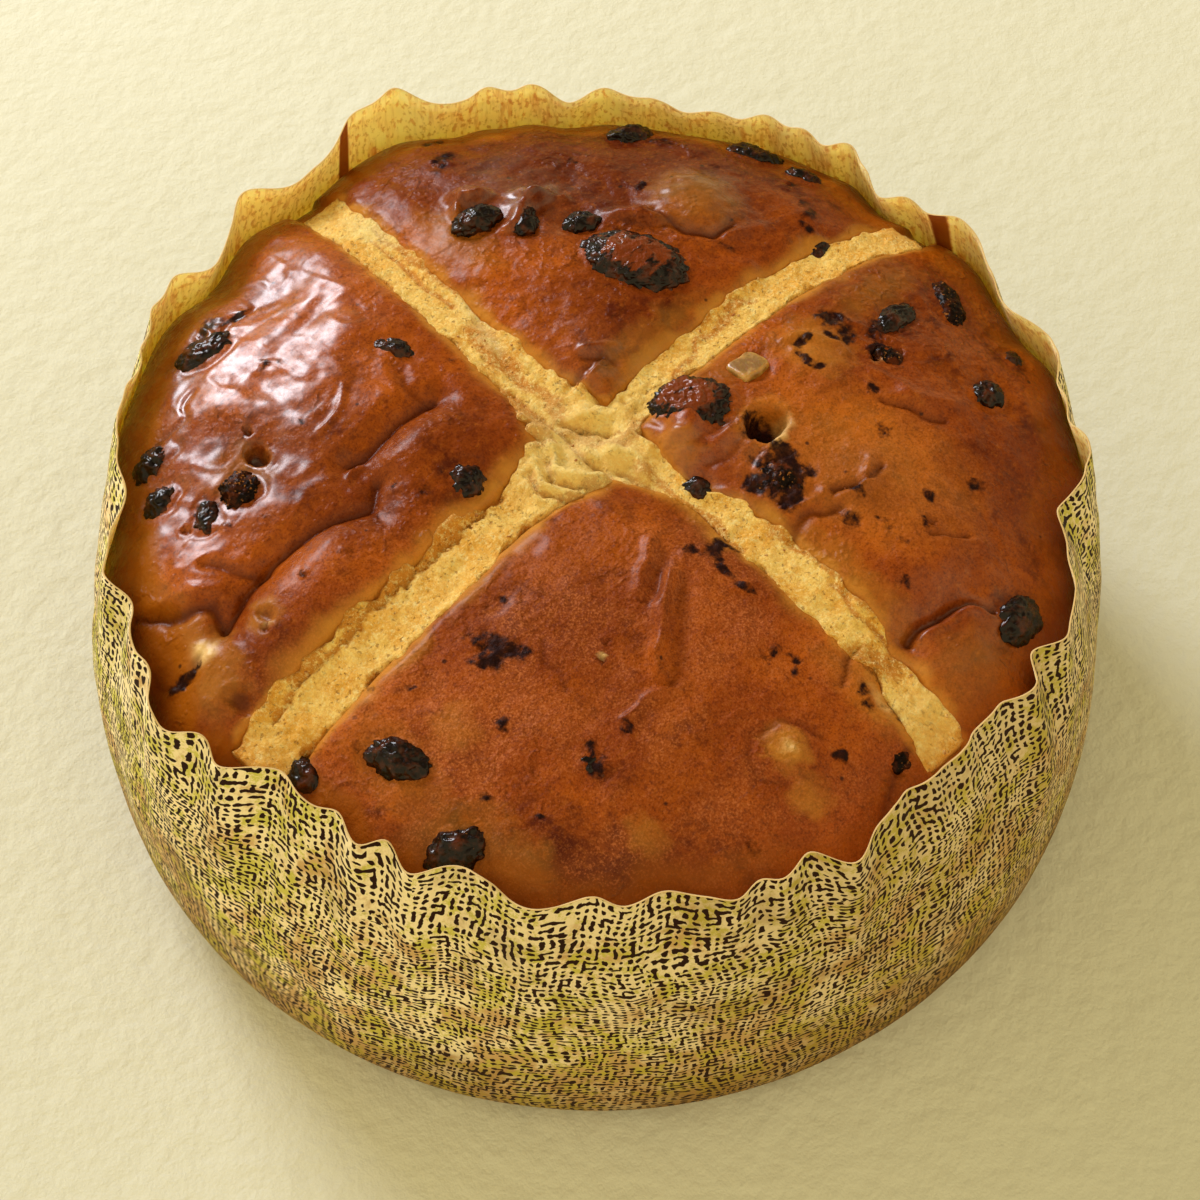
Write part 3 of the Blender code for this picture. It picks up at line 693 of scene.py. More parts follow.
# Burst bubbles and pin holes: place, half length, half width, turn and depth.
HOLES = (
    (18.0, 20.4, 2.7, 3.5, 20, 5.6),
    (20.2, 45.2, 0.8, 1.3, 20, 1.8),
    (22.4, 47.4, 0.8, 1.5, -20, 2.0),
    (-38.5, -40.0, 2.0, 1.5, 0, 2.6),
    (-42.5, -38.3, 0.9, 0.7, 0, 1.2),
    (-13.5, -59.5, 1.3, 1.0, 0, 0.8),
    (-12.0, -61.3, 1.0, 0.7, 0, 0.6),
    (-7.0, -71.2, 2.2, 1.5, 20, 1.0),
    (-36.5, -57.0, 0.8, 0.6, 0, 0.6),
    (12.3, -64.5, 0.7, 0.5, 0, 0.8),
    (30.5, -29.7, 0.6, 0.5, 0, 0.7),
    (28.5, -27.3, 0.6, 0.5, 0, 0.6),
    (11.7, -35.0, 0.5, 0.5, 0, 0.5),
    (48.5, 26.5, 0.9, 0.7, 0, 0.6),
)

# Dark fruit that shows through the skin: place, half length, half width, turn and strength.
STAINS = (
    (17.3, 19.8, 2.1, 2.8, 20, 1.0), (26.5, 15.6, 4.0, 3.4, -20, 1.0), (24, 18.4, 2.6, 1.4, 0, 0.9),
    (30.6, 13.4, 1.8, 2.4, 0, 0.9), (25, 11.6, 2.2, 1.5, 30, 0.9), (28.6, 18.8, 1.6, 1.4, 0, 0.8),
    (22.2, 14.6, 1.3, 1.0, 0, 0.7), (18, -39, 4.4, 1.7, 20, 0.85),
    (18.5, -42, 2.2, 1.6, 30, 0.8), (28.5, -2, 1.4, 2.6, 10, 0.8), (32, -4.2, 2.4, 0.8, -15, 0.8),
    (37, -4.4, 1.8, 0.7, 20, 0.7), (30, 0.3, 1.6, 0.8, 30, 0.7), (26.5, -5.5, 0.8, 1.8, 0, 0.6),
    (42.5, -42.3, 2.6, 1.8, -25, 0.7), (39, -40.6, 1.2, 0.9, 0, 0.7), (41.3, -35, 0.9, 0.9, 0, 0.8),
    (48, -8.5, 1.0, 0.9, 0, 0.7), (51, -7, 1.1, 0.9, 0, 0.7), (52.5, -8.7, 0.8, 0.7, 0, 0.6),
    (48, -11, 0.8, 0.7, 0, 0.6), (66.5, -13.2, 1.1, 1.0, 0, 0.8), (27.5, -47.5, 1.2, 1.0, 0, 0.6),
    (12, -32.5, 0.9, 0.8, 0, 0.8), (12.5, -53, 0.9, 0.7, 0, 0.7), (33, -57.5, 0.8, 0.8, 0, 0.7),
    (41.5, -53.5, 1.0, 0.6, 20, 0.7), (55.5, -62, 1.4, 1.1, 0, 0.5), (67, -33, 1.5, 1.2, 0, 0.4),
    (62, -3, 3.0, 1.1, -20, 0.55), (67, -1, 2.6, 1.0, 10, 0.55), (73, -1.5, 2.2, 0.9, 0, 0.5),
    (59, 1.2, 1.8, 1.0, 0, 0.5), (10, 46, 2.6, 1.8, 20, 0.8), (14, 45, 2.0, 1.4, -20, 0.75),
    (12, 43, 1.6, 0.9, 0, 0.7), (10, 38, 0.9, 1.9, 0, 0.9), (13, 35.2, 2.2, 0.8, -10, 0.9),
    (16, 36, 0.8, 1.0, 0, 0.8), (16.2, 50, 1.6, 2.6, 30, 0.7), (19, 46.5, 1.2, 1.6, 0, 0.9),
    (25, 39, 1.1, 0.9, 0, 0.7), (48, 39, 1.2, 1.1, 0, 0.7), (32, 34, 1.2, 1.0, 0, 0.5),
    (45, 30.5, 1.1, 0.9, 0, 0.7), (48, 26, 0.9, 0.8, 0, 0.8), (40, 17.5, 1.5, 1.7, 0, 0.75),
    (44.5, 21, 1.4, 0.8, 0, 0.6), (37.5, 21.5, 1.7, 0.7, 10, 0.7), (53.5, 15.8, 1.2, 0.9, 0, 0.6),
    (48, 21, 1.2, 0.7, 0, 0.5), (-34, 44.5, 0.9, 1.6, 25, 0.9), (-47.5, 42, 1.5, 1.0, 0, 0.6),
    (-18, 66, 1.5, 1.4, 0, 0.55), (-10, 62, 1.2, 2.2, 20, 0.65), (-13, 64, 0.9, 1.6, 0, 0.6),
    (-8, 59, 1.6, 0.9, 0, 0.6), (-65, 27, 1.5, 3.4, 30, 0.7), (-72, 31, 1.4, 2.4, 0, 0.7),
    (-42, 58, 3.0, 1.2, 30, 0.6), (-30, 59, 1.0, 0.8, 0, 0.5), (-13, 45, 1.6, 0.8, 10, 0.5),
    (-64.5, -22, 0.7, 2.4, -10, 1.0), (-66, -27, 1.6, 3.2, 20, 0.7), (-11.7, -44, 1.3, 1.2, 0, 0.6),
    (-14.2, -51, 0.9, 0.7, 0, 0.6), (-27.5, -46.6, 1.4, 0.7, 30, 0.5), (-31, -52, 1.4, 0.8, 20, 0.6),
    (-37, -52, 2.4, 1.6, 0, 0.75), (-51, -27, 0.9, 1.4, 20, 0.6), (-49.5, -25, 0.7, 0.6, 0, 0.5),
    (-28, -5.5, 1.3, 0.6, 20, 0.5), (-11, -28, 1.1, 2.2, 30, 0.35), (-36, -31.5, 0.8, 0.6, 0, 0.5),
    (-17, -75, 1.1, 2.0, -20, 0.9), (-16.5, -72.5, 0.7, 1.3, 10, 0.8), (8, -57, 1.0, 0.8, 0, 0.6),
    (-16, -30, 0.6, 0.5, 0, 0.5), (-55.5, -16.5, 0.6, 0.6, 0, 0.4), (66, 44, 1.0, 1.0, 0, 0.4),
)

# Where the oven has baked the skin darkest, and painted shade where it turns down at the front and
# left edges: place, half length, half width, turn and strength.
BAKED_AND_EDGE_SHADE = (
    (-42, 50, 36, 18, 45, 0.85), (-14, 20, 12, 10, 0, 0.6), (58, 50, 26, 14, -45, 0.5),
    (70, 28, 16, 8, 100, 0.4), (22, 62, 18, 12, 0, 0.55), (-26, -36, 14, 12, 0, 0.5),
    (-14, -22, 10, 10, 0, 0.5), (44, -66, 34, 9, 45, 0.95), (-66, -40, 18, 7, 120, 0.5),
    (14, -22, 10, 12, 30, 0.35), (14, 50, 10, 14, 0, 0.4), (-10, -66, 10, 8, 0, 0.35),
    (20, -30, 14, 9, 20, 0.35), (50, -36, 12, 6, -30, 0.3), (32, 2, 12, 6, 20, 0.35),
)

# Where the glaze lies thick, and where it has dried to a satin: as above.
GLAZED = (
    (-53, -32, 30, 17, 115, 1.0), (-46, 28, 10, 9, 0, 0.8), (-12, 12, 7, 5, 60, 0.7),
    (-22, 50, 8, 7, 0, 0.6), (18, 10, 9, 6, 0, 0.7), (-66, -44, 20, 9, 120, 0.8),
    (61, 18, 6, 9, 0, 0.6),
)
# The satin places also carry the painted sheen in the skin's colour.
SATIN = ((36, -36, 40, 26, 45, 1.0), (32, 28, 18, 14, 0, 0.4), (50, -8, 18, 12, 0, 0.9))

# Pale or golden places where the skin is thin: place, half length, half width, turn and strength.
GOLDEN = (
    (60.2, -19, 3.0, 2.6, 0, 0.95), (68, -22, 2.4, 2.4, 0, 0.6), (55, -44, 2.8, 2.4, 0, 0.5),
    (44, -60, 4.5, 3.0, 30, 0.4), (22, -53, 3.2, 2.8, 0, 0.35), (-25, 48.5, 6.4, 5.4, 0, 0.4),
    (62, 0, 4.0, 1.6, -10, 0.9), (66, -3, 2.0, 1.2, 30, 0.8), (9, 6, 5.0, 3.0, 30, 0.8),
    (12, 39, 5.5, 5.0, 0, 0.6), (-17.5, -70, 2.6, 2.4, 0, 0.9), (18, 21, 3.4, 4.2, 20, 0.7),
    (-14, -60, 2.4, 2.0, 0, 0.6), (3, 24, 5.0, 5.0, 0, 0.3), (37, 20, 4.0, 6.0, 0, 0.3),
    (62, -2, 8.0, 3.5, 0, 0.35), (-38, -44, 4.0, 4.0, 0, 0.35), (20, -63, 8.0, 4.0, 0, 0.3),
    (-48, 13, 8.0, 4.0, 0, 0.4), (-8, 20, 3.0, 12.0, 0, 0.35), (10, 57, 3.0, 8.0, 0, 0.3),
    (35, -64, 7.0, 5.0, 30, 0.35), (45, 10, 12.0, 3.0, 0, 0.45), (-20, -72, 10.0, 5.0, 0, 0.7),
    (70, 12, 5.0, 8.0, 0, 0.3), (-35, -71, 8.0, 5.0, -20, 0.5), (33, 26, 15.0, 11.0, 20, 0.3),
)

# Bare crumb, where the skin has burst or been rubbed off: as above.
PALE = (
    (20.4, 21.4, 1.3, 2.6, 20, 1.0), (-17.5, -70.2, 1.8, 2.4, 10, 0.9), (8.6, 4.2, 2.0, 1.0, 20, 0.6),
    (60.4, -18.8, 1.1, 0.9, 0, 0.6), (30.5, -29.2, 0.5, 0.5, 0, 0.8), (-12.0, -60.4, 0.7, 0.7, 0, 0.5),
    (64.0, -1.4, 2.4, 0.9, -15, 0.5), (20.6, 45.6, 1.0, 1.2, 20, 0.5),
)


def value_noise(x, y, size, seed):
    """Soft random swells of this size, from -1 to 1."""
    table = np.random.default_rng(seed).uniform(-1.0, 1.0, (512, 512))
    across = x / size + 256.0
    along = y / size + 256.0
    column = np.floor(across).astype(int)
    line = np.floor(along).astype(int)
    across = across - column
    along = along - line
    across = across * across * (3.0 - 2.0 * across)
    along = along * along * (3.0 - 2.0 * along)
    low = table[line, column] * (1.0 - across) + table[line, column + 1] * across
    high = table[line + 1, column] * (1.0 - across) + table[line + 1, column + 1] * across
    return low * (1.0 - along) + high * along


def line_distance(x, y, points):
    """How far each place lies from a line through the points."""
    nearest = np.full(np.shape(x), np.inf)
    for (x0, y0), (x1, y1) in zip(points, points[1:]):
        run, climb = x1 - x0, y1 - y0
        share = clamp(((x - x0) * run + (y - y0) * climb) / (run * run + climb * climb))
        nearest = np.minimum(nearest, np.hypot(x - x0 - share * run, y - y0 - share * climb))
    return nearest


def oval(x, y, place_x, place_y, long_half, short_half, turn):
    """0 in the middle of an oval and 1 on its edge."""
    cosine, sine = math.cos(math.radians(turn)), math.sin(math.radians(turn))
    along = ((x - place_x) * cosine + (y - place_y) * sine) / long_half
    across = ((y - place_y) * cosine - (x - place_x) * sine) / short_half
    return np.hypot(along, across)


def near_lines(x, y, lines):
    """Gives each line's lift with 1 along the line, falling away over its half width."""
    for lift, half, points in lines:
        yield lift, np.exp(-((line_distance(x, y, points) / half) ** 2))


def swayed(x, y):
    """The places pushed about a little, so that folds and holes aren't ruled lines and ovals."""
    return x + SWAY * value_noise(x, y, 4.0, 11), y + SWAY * value_noise(x, y, 4.0, 12)


def painted(x, y, spots, edge):
    """How strongly each place lies in the spots, with ragged edges."""
    x = x + edge * value_noise(x, y, 1.6, 31) + edge * 0.6 * value_noise(x, y, 0.9, 32)
    y = y + edge * value_noise(x, y, 1.6, 33) + edge * 0.6 * value_noise(x, y, 0.9, 34)
    strength = np.zeros(np.shape(x))
    for place_x, place_y, long_half, short_half, turn, amount in spots:
        away = oval(x, y, place_x, place_y, long_half, short_half, turn)
        strength = np.maximum(strength, amount * clamp(1.6 - away) ** 0.8)
    return clamp(strength)


def hump(value, place, half):
    """1 at this place, and falling away over the half width."""
    return np.exp(-(((value - place) / half) ** 2))


def band_middle_x(x):
    """How far the band along X lies from the X axis."""
    left = clamp(-x / 75.0)
    right = clamp(x / 76.0)
    return 6.5 * left - 5.0 * left * (1.0 - left) + 18.0 * right * (1.0 - right) + right


def band_middle_y(y):
    """How far the band along Y lies from the Y axis."""
    back = clamp(y / 75.0)
    front = clamp(-y / 77.0)
    return 1.8 * back - 13.0 * back * (1.0 - back) + 2.0 * front - front * (1.0 - front)


def band_half_x(x):
    """Half the width of the band along X: wide at its torn middle, narrow at two places."""
    thin = 2.5 * hump(x, 18.0, 7.0) + 1.7 * hump(x, 59.5, 2.6)
    return 3.8 - thin + 3.4 * hump(x, -4.0, 10.0)


def band_half_y(y):
    """Half the width of the band along Y, which widens towards the front."""
    return 3.4 + 2.1 * clamp(-y / 50.0) + 3.0 * hump(y, -5.0, 9.0)


def outside_bands(x, y):
    """How far each place lies outside the nearer band."""
    from_x = np.abs(y - band_middle_x(x)) - band_half_x(x)
    from_y = np.abs(x - band_middle_y(y)) - band_half_y(y)
    return np.minimum(from_x, from_y)


def groove(x, y):
    """The depth of the cross's groove, with a steeper bank close to the paste."""
    out = clamp(np.hypot(x, y) / RIM_RADIUS)
    depth = GROOVE_DEPTH * (1.0 - out) + GROOVE_END_DEPTH * out
    from_x = np.abs(y - band_middle_x(x))
    from_y = np.abs(x - band_middle_y(y))
    near_x = hump(from_x, 0.0, GROOVE_WIDTH)
    near_y = hump(from_y, 0.0, GROOVE_WIDTH)
    beside = outside_bands(x, y)
    bank = 0.7 * clamp((beside + 0.6) / 2.2) * clamp(1.0 - (beside - 1.6) / 7.0)
    return depth * (1.0 - (1.0 - near_x) * (1.0 - near_y)) - bank


def edge_radius(x, y):
    """The loaf's radius in the direction of each place, just inside the paper."""
    return wall(np.arctan2(y, x), LOAF_EDGE) - PAPER - WALL_GAP


def crust(x, y):
    """The height of the skin above the surface that the bun stands on."""
    inside = 1.0 - clamp(np.hypot(x, y) / edge_radius(x, y)) ** DOME_POWER
    height = LOAF_EDGE + (LOAF_TOP - LOAF_EDGE) * np.sqrt(inside)
    bent_x, bent_y = swayed(x, y)
    relief = -groove(x, y)
    for place_x, place_y, long_half, short_half, turn, lift in SWELLS:
        away = oval(x, y, place_x, place_y, long_half, short_half, turn)
        relief = relief + lift * np.exp(-(away**2))
    for lift, ridge in near_lines(bent_x, bent_y, SKIN_LINES):
        relief = relief + lift * ridge
    for place_x, place_y, long_half, short_half, turn, depth in HOLES:
        away = oval(bent_x, bent_y, place_x, place_y, long_half, short_half, turn)
        relief = relief - depth * clamp((1.15 - away) * 1.8) ** 0.7
        relief = relief + 0.3 * hump(away, 1.4, 0.3)
    relief = relief + 0.45 * value_noise(x, y, 9.0, 21) + 0.2 * value_noise(x, y, 4.0, 22)
    relief = relief + 0.1 * value_noise(x, y, 1.8, 23)
    puckers = value_noise(x, y, 30.0, 24) > -0.2
    relief = relief + 0.16 * puckers * clamp(1.0 - 6.0 * np.abs(value_noise(bent_x, bent_y, 5.5, 25)))
    return height + relief * clamp(inside * 4.0)


def skin(x, y):
    """The crust as it shows: a bed under the paste, wrinkles over sunk fruit, a dip round the rest."""
    height = crust(x, y) - BED_DEPTH * clamp(-outside_bands(x, y) / 0.9)
    wrinkles = np.abs(value_noise(x, y, 1.7, 71)) + 0.5 * np.abs(value_noise(x, y, 1.0, 72))
    height = height + painted(x, y, STAINS, 0.5) * (1.1 * wrinkles - 0.5)
    for place_x, place_y, long_half, short_half, turn, lift in COVERS:
        away = oval(x, y, place_x, place_y, long_half, short_half, turn)
        away = away + 0.18 * value_noise(x, y, 1.8, 74)
        height = height + lift * np.exp(-(away**4))
    for name in FRUIT:
        away = from_fruit(x, y, name) + 0.7 * value_noise(x, y, 2.2, 73)
        height = height - FRUIT_DIP * hump(away, 0.0, 0.6)
    return height


def mesh_of(name, places, faces, look):
    """A smooth mesh from places in millimetres."""
    mesh = bpy.data.meshes.new(name)
    mesh.from_pydata((np.asarray(places) * 0.001).tolist(), [], faces)
    mesh.materials.append(look)
    mesh.shade_smooth()
    return mesh


def paint(mesh, label, values):
    attribute = mesh.attributes.new(label, "FLOAT", "POINT")
    attribute.data.foreach_set("value", np.asarray(values, dtype=np.float32))


def painted_wire(tree, label):
    return add(tree, "ShaderNodeAttribute", {"attribute_name": label}, (), "Fac")


CRUST_BROWN = linear(146, 64, 12)
CRUST_ORANGE = linear(176, 84, 12)
CRUST_DEEP = linear(86, 28, 5)
CRUST_PALE = linear(192, 108, 36)
CRUST_AMBER = linear(158, 84, 8)
CRUST_EDGE_SHADE = linear(104, 42, 4)
CRUST_GOLD = linear(216, 148, 56)
# The pinkish colour of the painted sheen on the skin.
PAINTED_SHEEN = linear(194, 110, 62)
BARE_CRUMB = linear(240, 200, 132)
FRUIT_STAIN = linear(36, 14, 13)
FRECKLES_PER_MM = 0.26
BLISTERS_PER_MM = 0.55


def cells(place, per_mm, output="Distance"):
    """Scattered points, this many to a millimetre: how near one is, or a chance for each."""
    sockets = {"Vector": place, "Scale": per_mm, "Randomness": 1.0}
    return add(place.tree, "ShaderNodeTexVoronoi", None, sockets, output)


def baked_skin():
    look = new_look("crust", Coat_Roughness=0.26, Specular_IOR_Level=0.06)
    tree = look.node_tree
    place = in_mm(tree)
    marks = ("satin", "baked", "golden", "pale", "amber", "edge", "toast", "stain", "glaze")
    marked = {label: painted_wire(tree, label) for label in marks}
    satin = marked["satin"]
    glaze = marked["glaze"]
    broad = noise(place, 20.0, 4.0, 0.6, 1.0)
    medium = noise(place, 5.0, 4.0, 0.65, 2.0)
    fine = noise(place, 1.1, 4.0, 0.7, 3.0)
    speck = noise(place, 0.32, 1.0, 0.5, 4.0)
    # Painted sheen: pinkish patches on the satin places, and pinkish specks all over, stand for the
    # glaze's soft reflection.
    sheen_patches = satin * rise(noise(place, 13.0, 3.0, 0.6, 5.0), 0.4, 0.62)
    freckles = rise(cells(place, FRECKLES_PER_MM, "Color"), 0.74, 0.8)
    freckles = freckles * (1.0 - rise(cells(place, FRECKLES_PER_MM), 0.06, 0.14))
    cloud = noise(place, 1.5, 3.0, 0.6, 6.0)
    stain = rise(marked["stain"] + (cloud - 0.5) * 1.5, 0.24, 0.78)
    colour = layered(
        CRUST_BROWN,
        (CRUST_ORANGE, rise(broad, 0.42, 0.6)),
        # Baked dark, with painted shade at the front and left edges.
        (CRUST_DEEP, clamp(marked["baked"] * (0.7 + medium * 0.5) + rise(medium, 0.48, 0.7) * 0.5)),
        (CRUST_DEEP, rise(fine, 0.5, 0.68) * 0.45),
        (CRUST_PALE, rise(1.0 - fine, 0.52, 0.72) * 0.3),
        # Painted sheen.
        (PAINTED_SHEEN, sheen_patches * 0.22),
        (PAINTED_SHEEN, rise(speck, 0.52, 0.66) * (sheen_patches * 0.5 + satin * 0.16 + 0.06)),
        (CRUST_DEEP, rise(1.0 - speck, 0.52, 0.68) * 0.45),
        (CRUST_GOLD, clamp(marked["golden"] * (0.3 + medium * 1.1))),
        (BARE_CRUMB, marked["pale"] * (0.5 + fine)),
        # Amber edge, stronger on the lamp's side as painted light.
        (CRUST_AMBER, marked["amber"]),
        # Painted shade at the outer edge.
        (CRUST_EDGE_SHADE, marked["edge"]),
        # Painted shade in creases and holes.
        (CRUST_DEEP, marked["toast"]),
        (FRUIT_STAIN, clamp(stain * (0.7 + cloud * 0.5) + freckles * 0.8)),
    )
    feed(look, "Base Color", colour)
    feed(look, "Roughness", clamp(0.2 + satin * 0.22 + medium * 0.06 + fine * 0.12))
    mottle = noise(place, 3.0, 3.0, 0.7, 9.0)
    coat = 0.15 + glaze * (0.3 + rise(mottle, 0.36, 0.6) * 0.6) - satin * 0.06
    feed(look, "Coat Weight", clamp(coat - stain * 0.4))
    folds = noise(place, 2.8, 2.0, 0.55, 8.0)
    blisters = 1.0 - rise(cells(place, BLISTERS_PER_MM), 0.05, 0.3)
    relief = folds * 1.3 + fine * (0.3 + satin * 0.4) + speck * (0.06 + satin * 0.2) + blisters * 0.2
    crinkle = 1.0 - clamp((noise(place, 6.5, 3.0, 0.6, 11.0) - 0.5).maths("ABSOLUTE") * 16.0)
    crinkle = crinkle * rise(noise(place, 16.0, 2.0, 0.5, 12.0), 0.46, 0.62)
    relief = relief + mottle * glaze * 0.8 + crinkle * 0.55
    feed(look, "Normal", bump(relief, 0.9, 0.0006))
    return look


SKIN_CELLS = 284


def paint_skin(mesh, x, y):
    """Marks where the skin is stained, golden, amber or baked dark, for its colour, and where painted
    shade falls in its creases, holes and outer edge.
    """
    for label, spots, edge in (("baked", BAKED_AND_EDGE_SHADE, 2.5), ("glaze", GLAZED, 2.0), ("satin", SATIN, 2.0)):
        paint(mesh, label, painted(x, y, spots, edge))
    paint(mesh, "stain", painted(x, y, STAINS, 0.5))
    paint(mesh, "pale", painted(x, y, PALE, 0.6) ** 1.5)
    beside = outside_bands(x, y) + 0.9 * value_noise(x, y, 2.4, 43)
    reach = 1.5 + 1.2 * value_noise(x, y, 7.0, 44)
    near_paste = 0.7 * hump(np.maximum(beside, 0.0), 0.0, reach)
    paint(mesh, "golden", np.maximum(painted(x, y, GOLDEN, 1.2) * 0.6, near_paste))
    out = np.hypot(x, y) / edge_radius(x, y)
    wander = 0.03 * value_noise(x, y, 9.0, 41) + 0.012 * value_noise(x, y, 3.0, 42)
    # The amber edge is the side crust's own paler colour, made stronger on the left, the lamp's side,
    # as painted light through the paper.
    left = clamp(0.55 - 0.6 * (x + y * 0.4) / 80.0)
    paint(mesh, "amber", clamp((out + wander - 0.885) / 0.03) * (0.35 + 0.65 * left))
    # Painted shade: the outermost ring darkens where the skin turns down beside the paper.
    paint(mesh, "edge", clamp((out + wander - 0.93) / 0.06) * 0.85)
    # Painted shade: the deep creases and the holes are darkened.
    deep = [line for line in SKIN_LINES if line[0] < -0.45]
    deep = [(lift, 0.35 + 0.3 * min(half, 1.5), points) for lift, half, points in deep]
    shade_in_creases = np.zeros(np.shape(x))
    for lift, crease in near_lines(*swayed(x, y), deep):
        shade_in_creases = np.maximum(shade_in_creases, crease * min(0.85, 0.7 * abs(lift)))
    for place_x, place_y, long_half, short_half, turn, depth in HOLES:
        away = oval(x, y, place_x, place_y, long_half, short_half, turn)
        shade_in_creases = np.maximum(shade_in_creases, clamp((0.95 - away) * 3.0) * clamp(depth / 1.5))
    paint(mesh, "toast", shade_in_creases)


def loaf_mesh():
    """A square grid rounded to a disc is the skin. Rings close it down the wall and over the base."""
    steps = np.linspace(-1.0, 1.0, SKIN_CELLS + 1)
    u, v = np.meshgrid(steps, steps)
    across = u * np.sqrt(1.0 - v * v / 2.0)
    along = v * np.sqrt(1.0 - u * u / 2.0)
    edge = edge_radius(across, along)
    x, y = (across * edge).ravel(), (along * edge).ravel()
    places = [np.stack([x, y, skin(x, y)], axis=1)]
    side = SKIN_CELLS + 1
    cell = np.arange(SKIN_CELLS)
    corner = (cell[:, None] * side + cell[None, :]).ravel()
    faces = np.stack([corner, corner + 1, corner + side + 1, corner + side], axis=1).tolist()
    sides = [cell, cell * side + SKIN_CELLS, side * side - 1 - cell, (SKIN_CELLS - cell) * side]
    ring = np.concatenate(sides)
    angles = np.arctan2(y[ring], x[ring])
    count = len(ring)
    total = side * side
    for level, room in RINGS:
        radius = wall(angles, level) - PAPER - room
        low = np.stack([radius * np.cos(angles), radius * np.sin(angles), 0.0 * angles + level], axis=1)
        places.append(low)
        fresh = total + np.arange(count)
        total += count
        after = np.roll(np.arange(count), -1)
        faces += np.stack([ring, fresh, fresh[after], ring[after]], axis=1).tolist()
        ring = fresh
    faces.append(ring[::-1].tolist())
    places = np.concatenate(places)
    mesh = mesh_of("loaf_dressed", places, faces, baked_skin())
    paint_skin(mesh, places[:, 0], places[:, 1])
    return mesh


show("loaf_dressed", loaf_mesh(), "crust", "loaf")

# ------------------------------------------------------------------------------- The cross
# Stiff flour-and-water paste, piped over the risen dough in two bands before baking. It stays pale
# and dry, its face is grainy with pores and cracks, and where the bands cross the dough has torn.

PASTE_DEPTH = 1.8
PASTE_LIFT = 0.45  # how far the middle of a band stands above the crust
PASTE_EDGE_DROP = 1.3  # and how far its edges run down
TORN_REACH = 12.0  # the torn middle's size
PALE_END = (69.0, 5.0)  # the arm along +X is pale near its end: where, and over what half width
ARM_CELLS = 150  # faces along an arm, and across a band
BAND_CELLS = 26
PASTE_PALE = linear(255, 208, 108)
PASTE_GOLD = linear(244, 180, 70)
PASTE_TOASTED = linear(206, 128, 36)
PASTE_PORE = linear(150, 82, 20)
PASTE_CRUMB = linear(255, 232, 158)

# Cracks, ridges and flakes of the paste: height, half width, then the line that each follows.
PASTE_LINES = (
    (-1.1, 0.7, ((-3.2, -19), (-3, -26), (-2.6, -33), (-2.8, -39), (-2, -46))),
    (-0.7, 0.6, ((-3, -46), (-1.5, -54), (-2.2, -62), (-1, -70))),
    (-0.7, 0.7, ((6, -1.5), (12, -0.5), (19, -1.8), (25, -0.6), (31, 1.5))),
    (-0.9, 0.6, ((-17, -2.5), (-11, -3), (-5, -2.4), (0, -3.2), (8, -3.4))),
    (1.5, 1.1, ((-4, -6), (-1, -8.8), (3.5, -7.4), (6.5, -4.4))),
    (1.2, 0.9, ((-4, -10.5), (1, -12.4), (5.5, -10.5), (7.5, -7.5))),
    (-1.0, 0.6, ((-3, -8), (0.5, -10.6), (4, -8.9), (6, -6.2))),
    (1.4, 1.6, ((3, 0.5), (7, 2.4), (9.5, 1.0))),
    (1.0, 1.3, ((-6, 2), (-3, 5.5), (-1.5, 9))),
    (-0.9, 0.6, ((-7, -1), (-2, 1.5), (2, 4.5))),
    (1.1, 1.1, ((-14, -5.4), (-10, -6), (-6.5, -4.6))),
    (0.7, 0.8, ((-1.5, -14), (1.5, -15), (4.5, -13.5))),
    (-0.7, 0.6, ((-2.5, -12), (1, -13.6), (5, -12.2))),
    (0.9, 1.1, ((1, 4), (4, 6.0), (7, 5.4))),
    (-0.7, 0.7, ((-33, 4), (-27, 3.2), (-22, 1), (-17, 0.5))),
    (-0.6, 0.6, ((-60, 5.4), (-52, 4.6), (-45, 3.6), (-38, 3.4))),
    (-0.5, 0.5, ((45, 7.2), (52, 6.4), (60, 6.6))),
)
# Where the paste is brown from the oven: half width, then the line along which it is.
PASTE_BROWN = (
    (1.8, ((-5.4, -20), (-5.2, -30), (-5, -40), (-5, -46))),
    (1.2, ((-5, -48), (-4.4, -56), (-3, -62))),
    (1.6, ((-17, -3.4), (-10, -4.4), (-6, -6))),
    (2.2, ((-31, 1.6), (-22, 1.2), (-15, 0.6), (-8, -0.4))),
    (1.8, ((-5, -1.6), (0, 0.4), (4, 3.6), (3, 8))),
    (1.6, ((8, 0.5), (14, 1.4), (20, 1.0), (27, 2.6))),
    (1.3, ((1.5, 16), (-1.5, 24), (-3.6, 33), (-3.4, 40))),
    (1.0, ((4.4, 46), (4.8, 56), (4.6, 66))),
    (1.2, ((33, 7.4), (42, 9.4), (52, 9.6))),
    (1.0, ((-62, 7.6), (-50, 6.2), (-40, 5.8))),
    (2.4, ((57, 2.5), (60.5, 3.6), (61, 7))),
)
# Where the paste is wet with glaze, and painted paler there as a highlight: place, half length,
# half width, turn and strength.
PASTE_WET_AND_HIGHLIT = ((-62, 8, 5, 2.6, 10, 1.0), (-33, 5.6, 4, 2.2, 0, 1.0), (-27, 2.6, 2, 1.2, 0, 1.0))


def ragged(along, side, seed):
    """The share of its width that a band has here. Each edge wanders by itself."""
    sway = value_noise(along, 40.0 * np.sign(side), 5.0, seed)
    nibble = value_noise(along, 40.0 * np.sign(side), 1.4, seed + 10)
    return 1.03 + 0.22 * sway + 0.17 * nibble


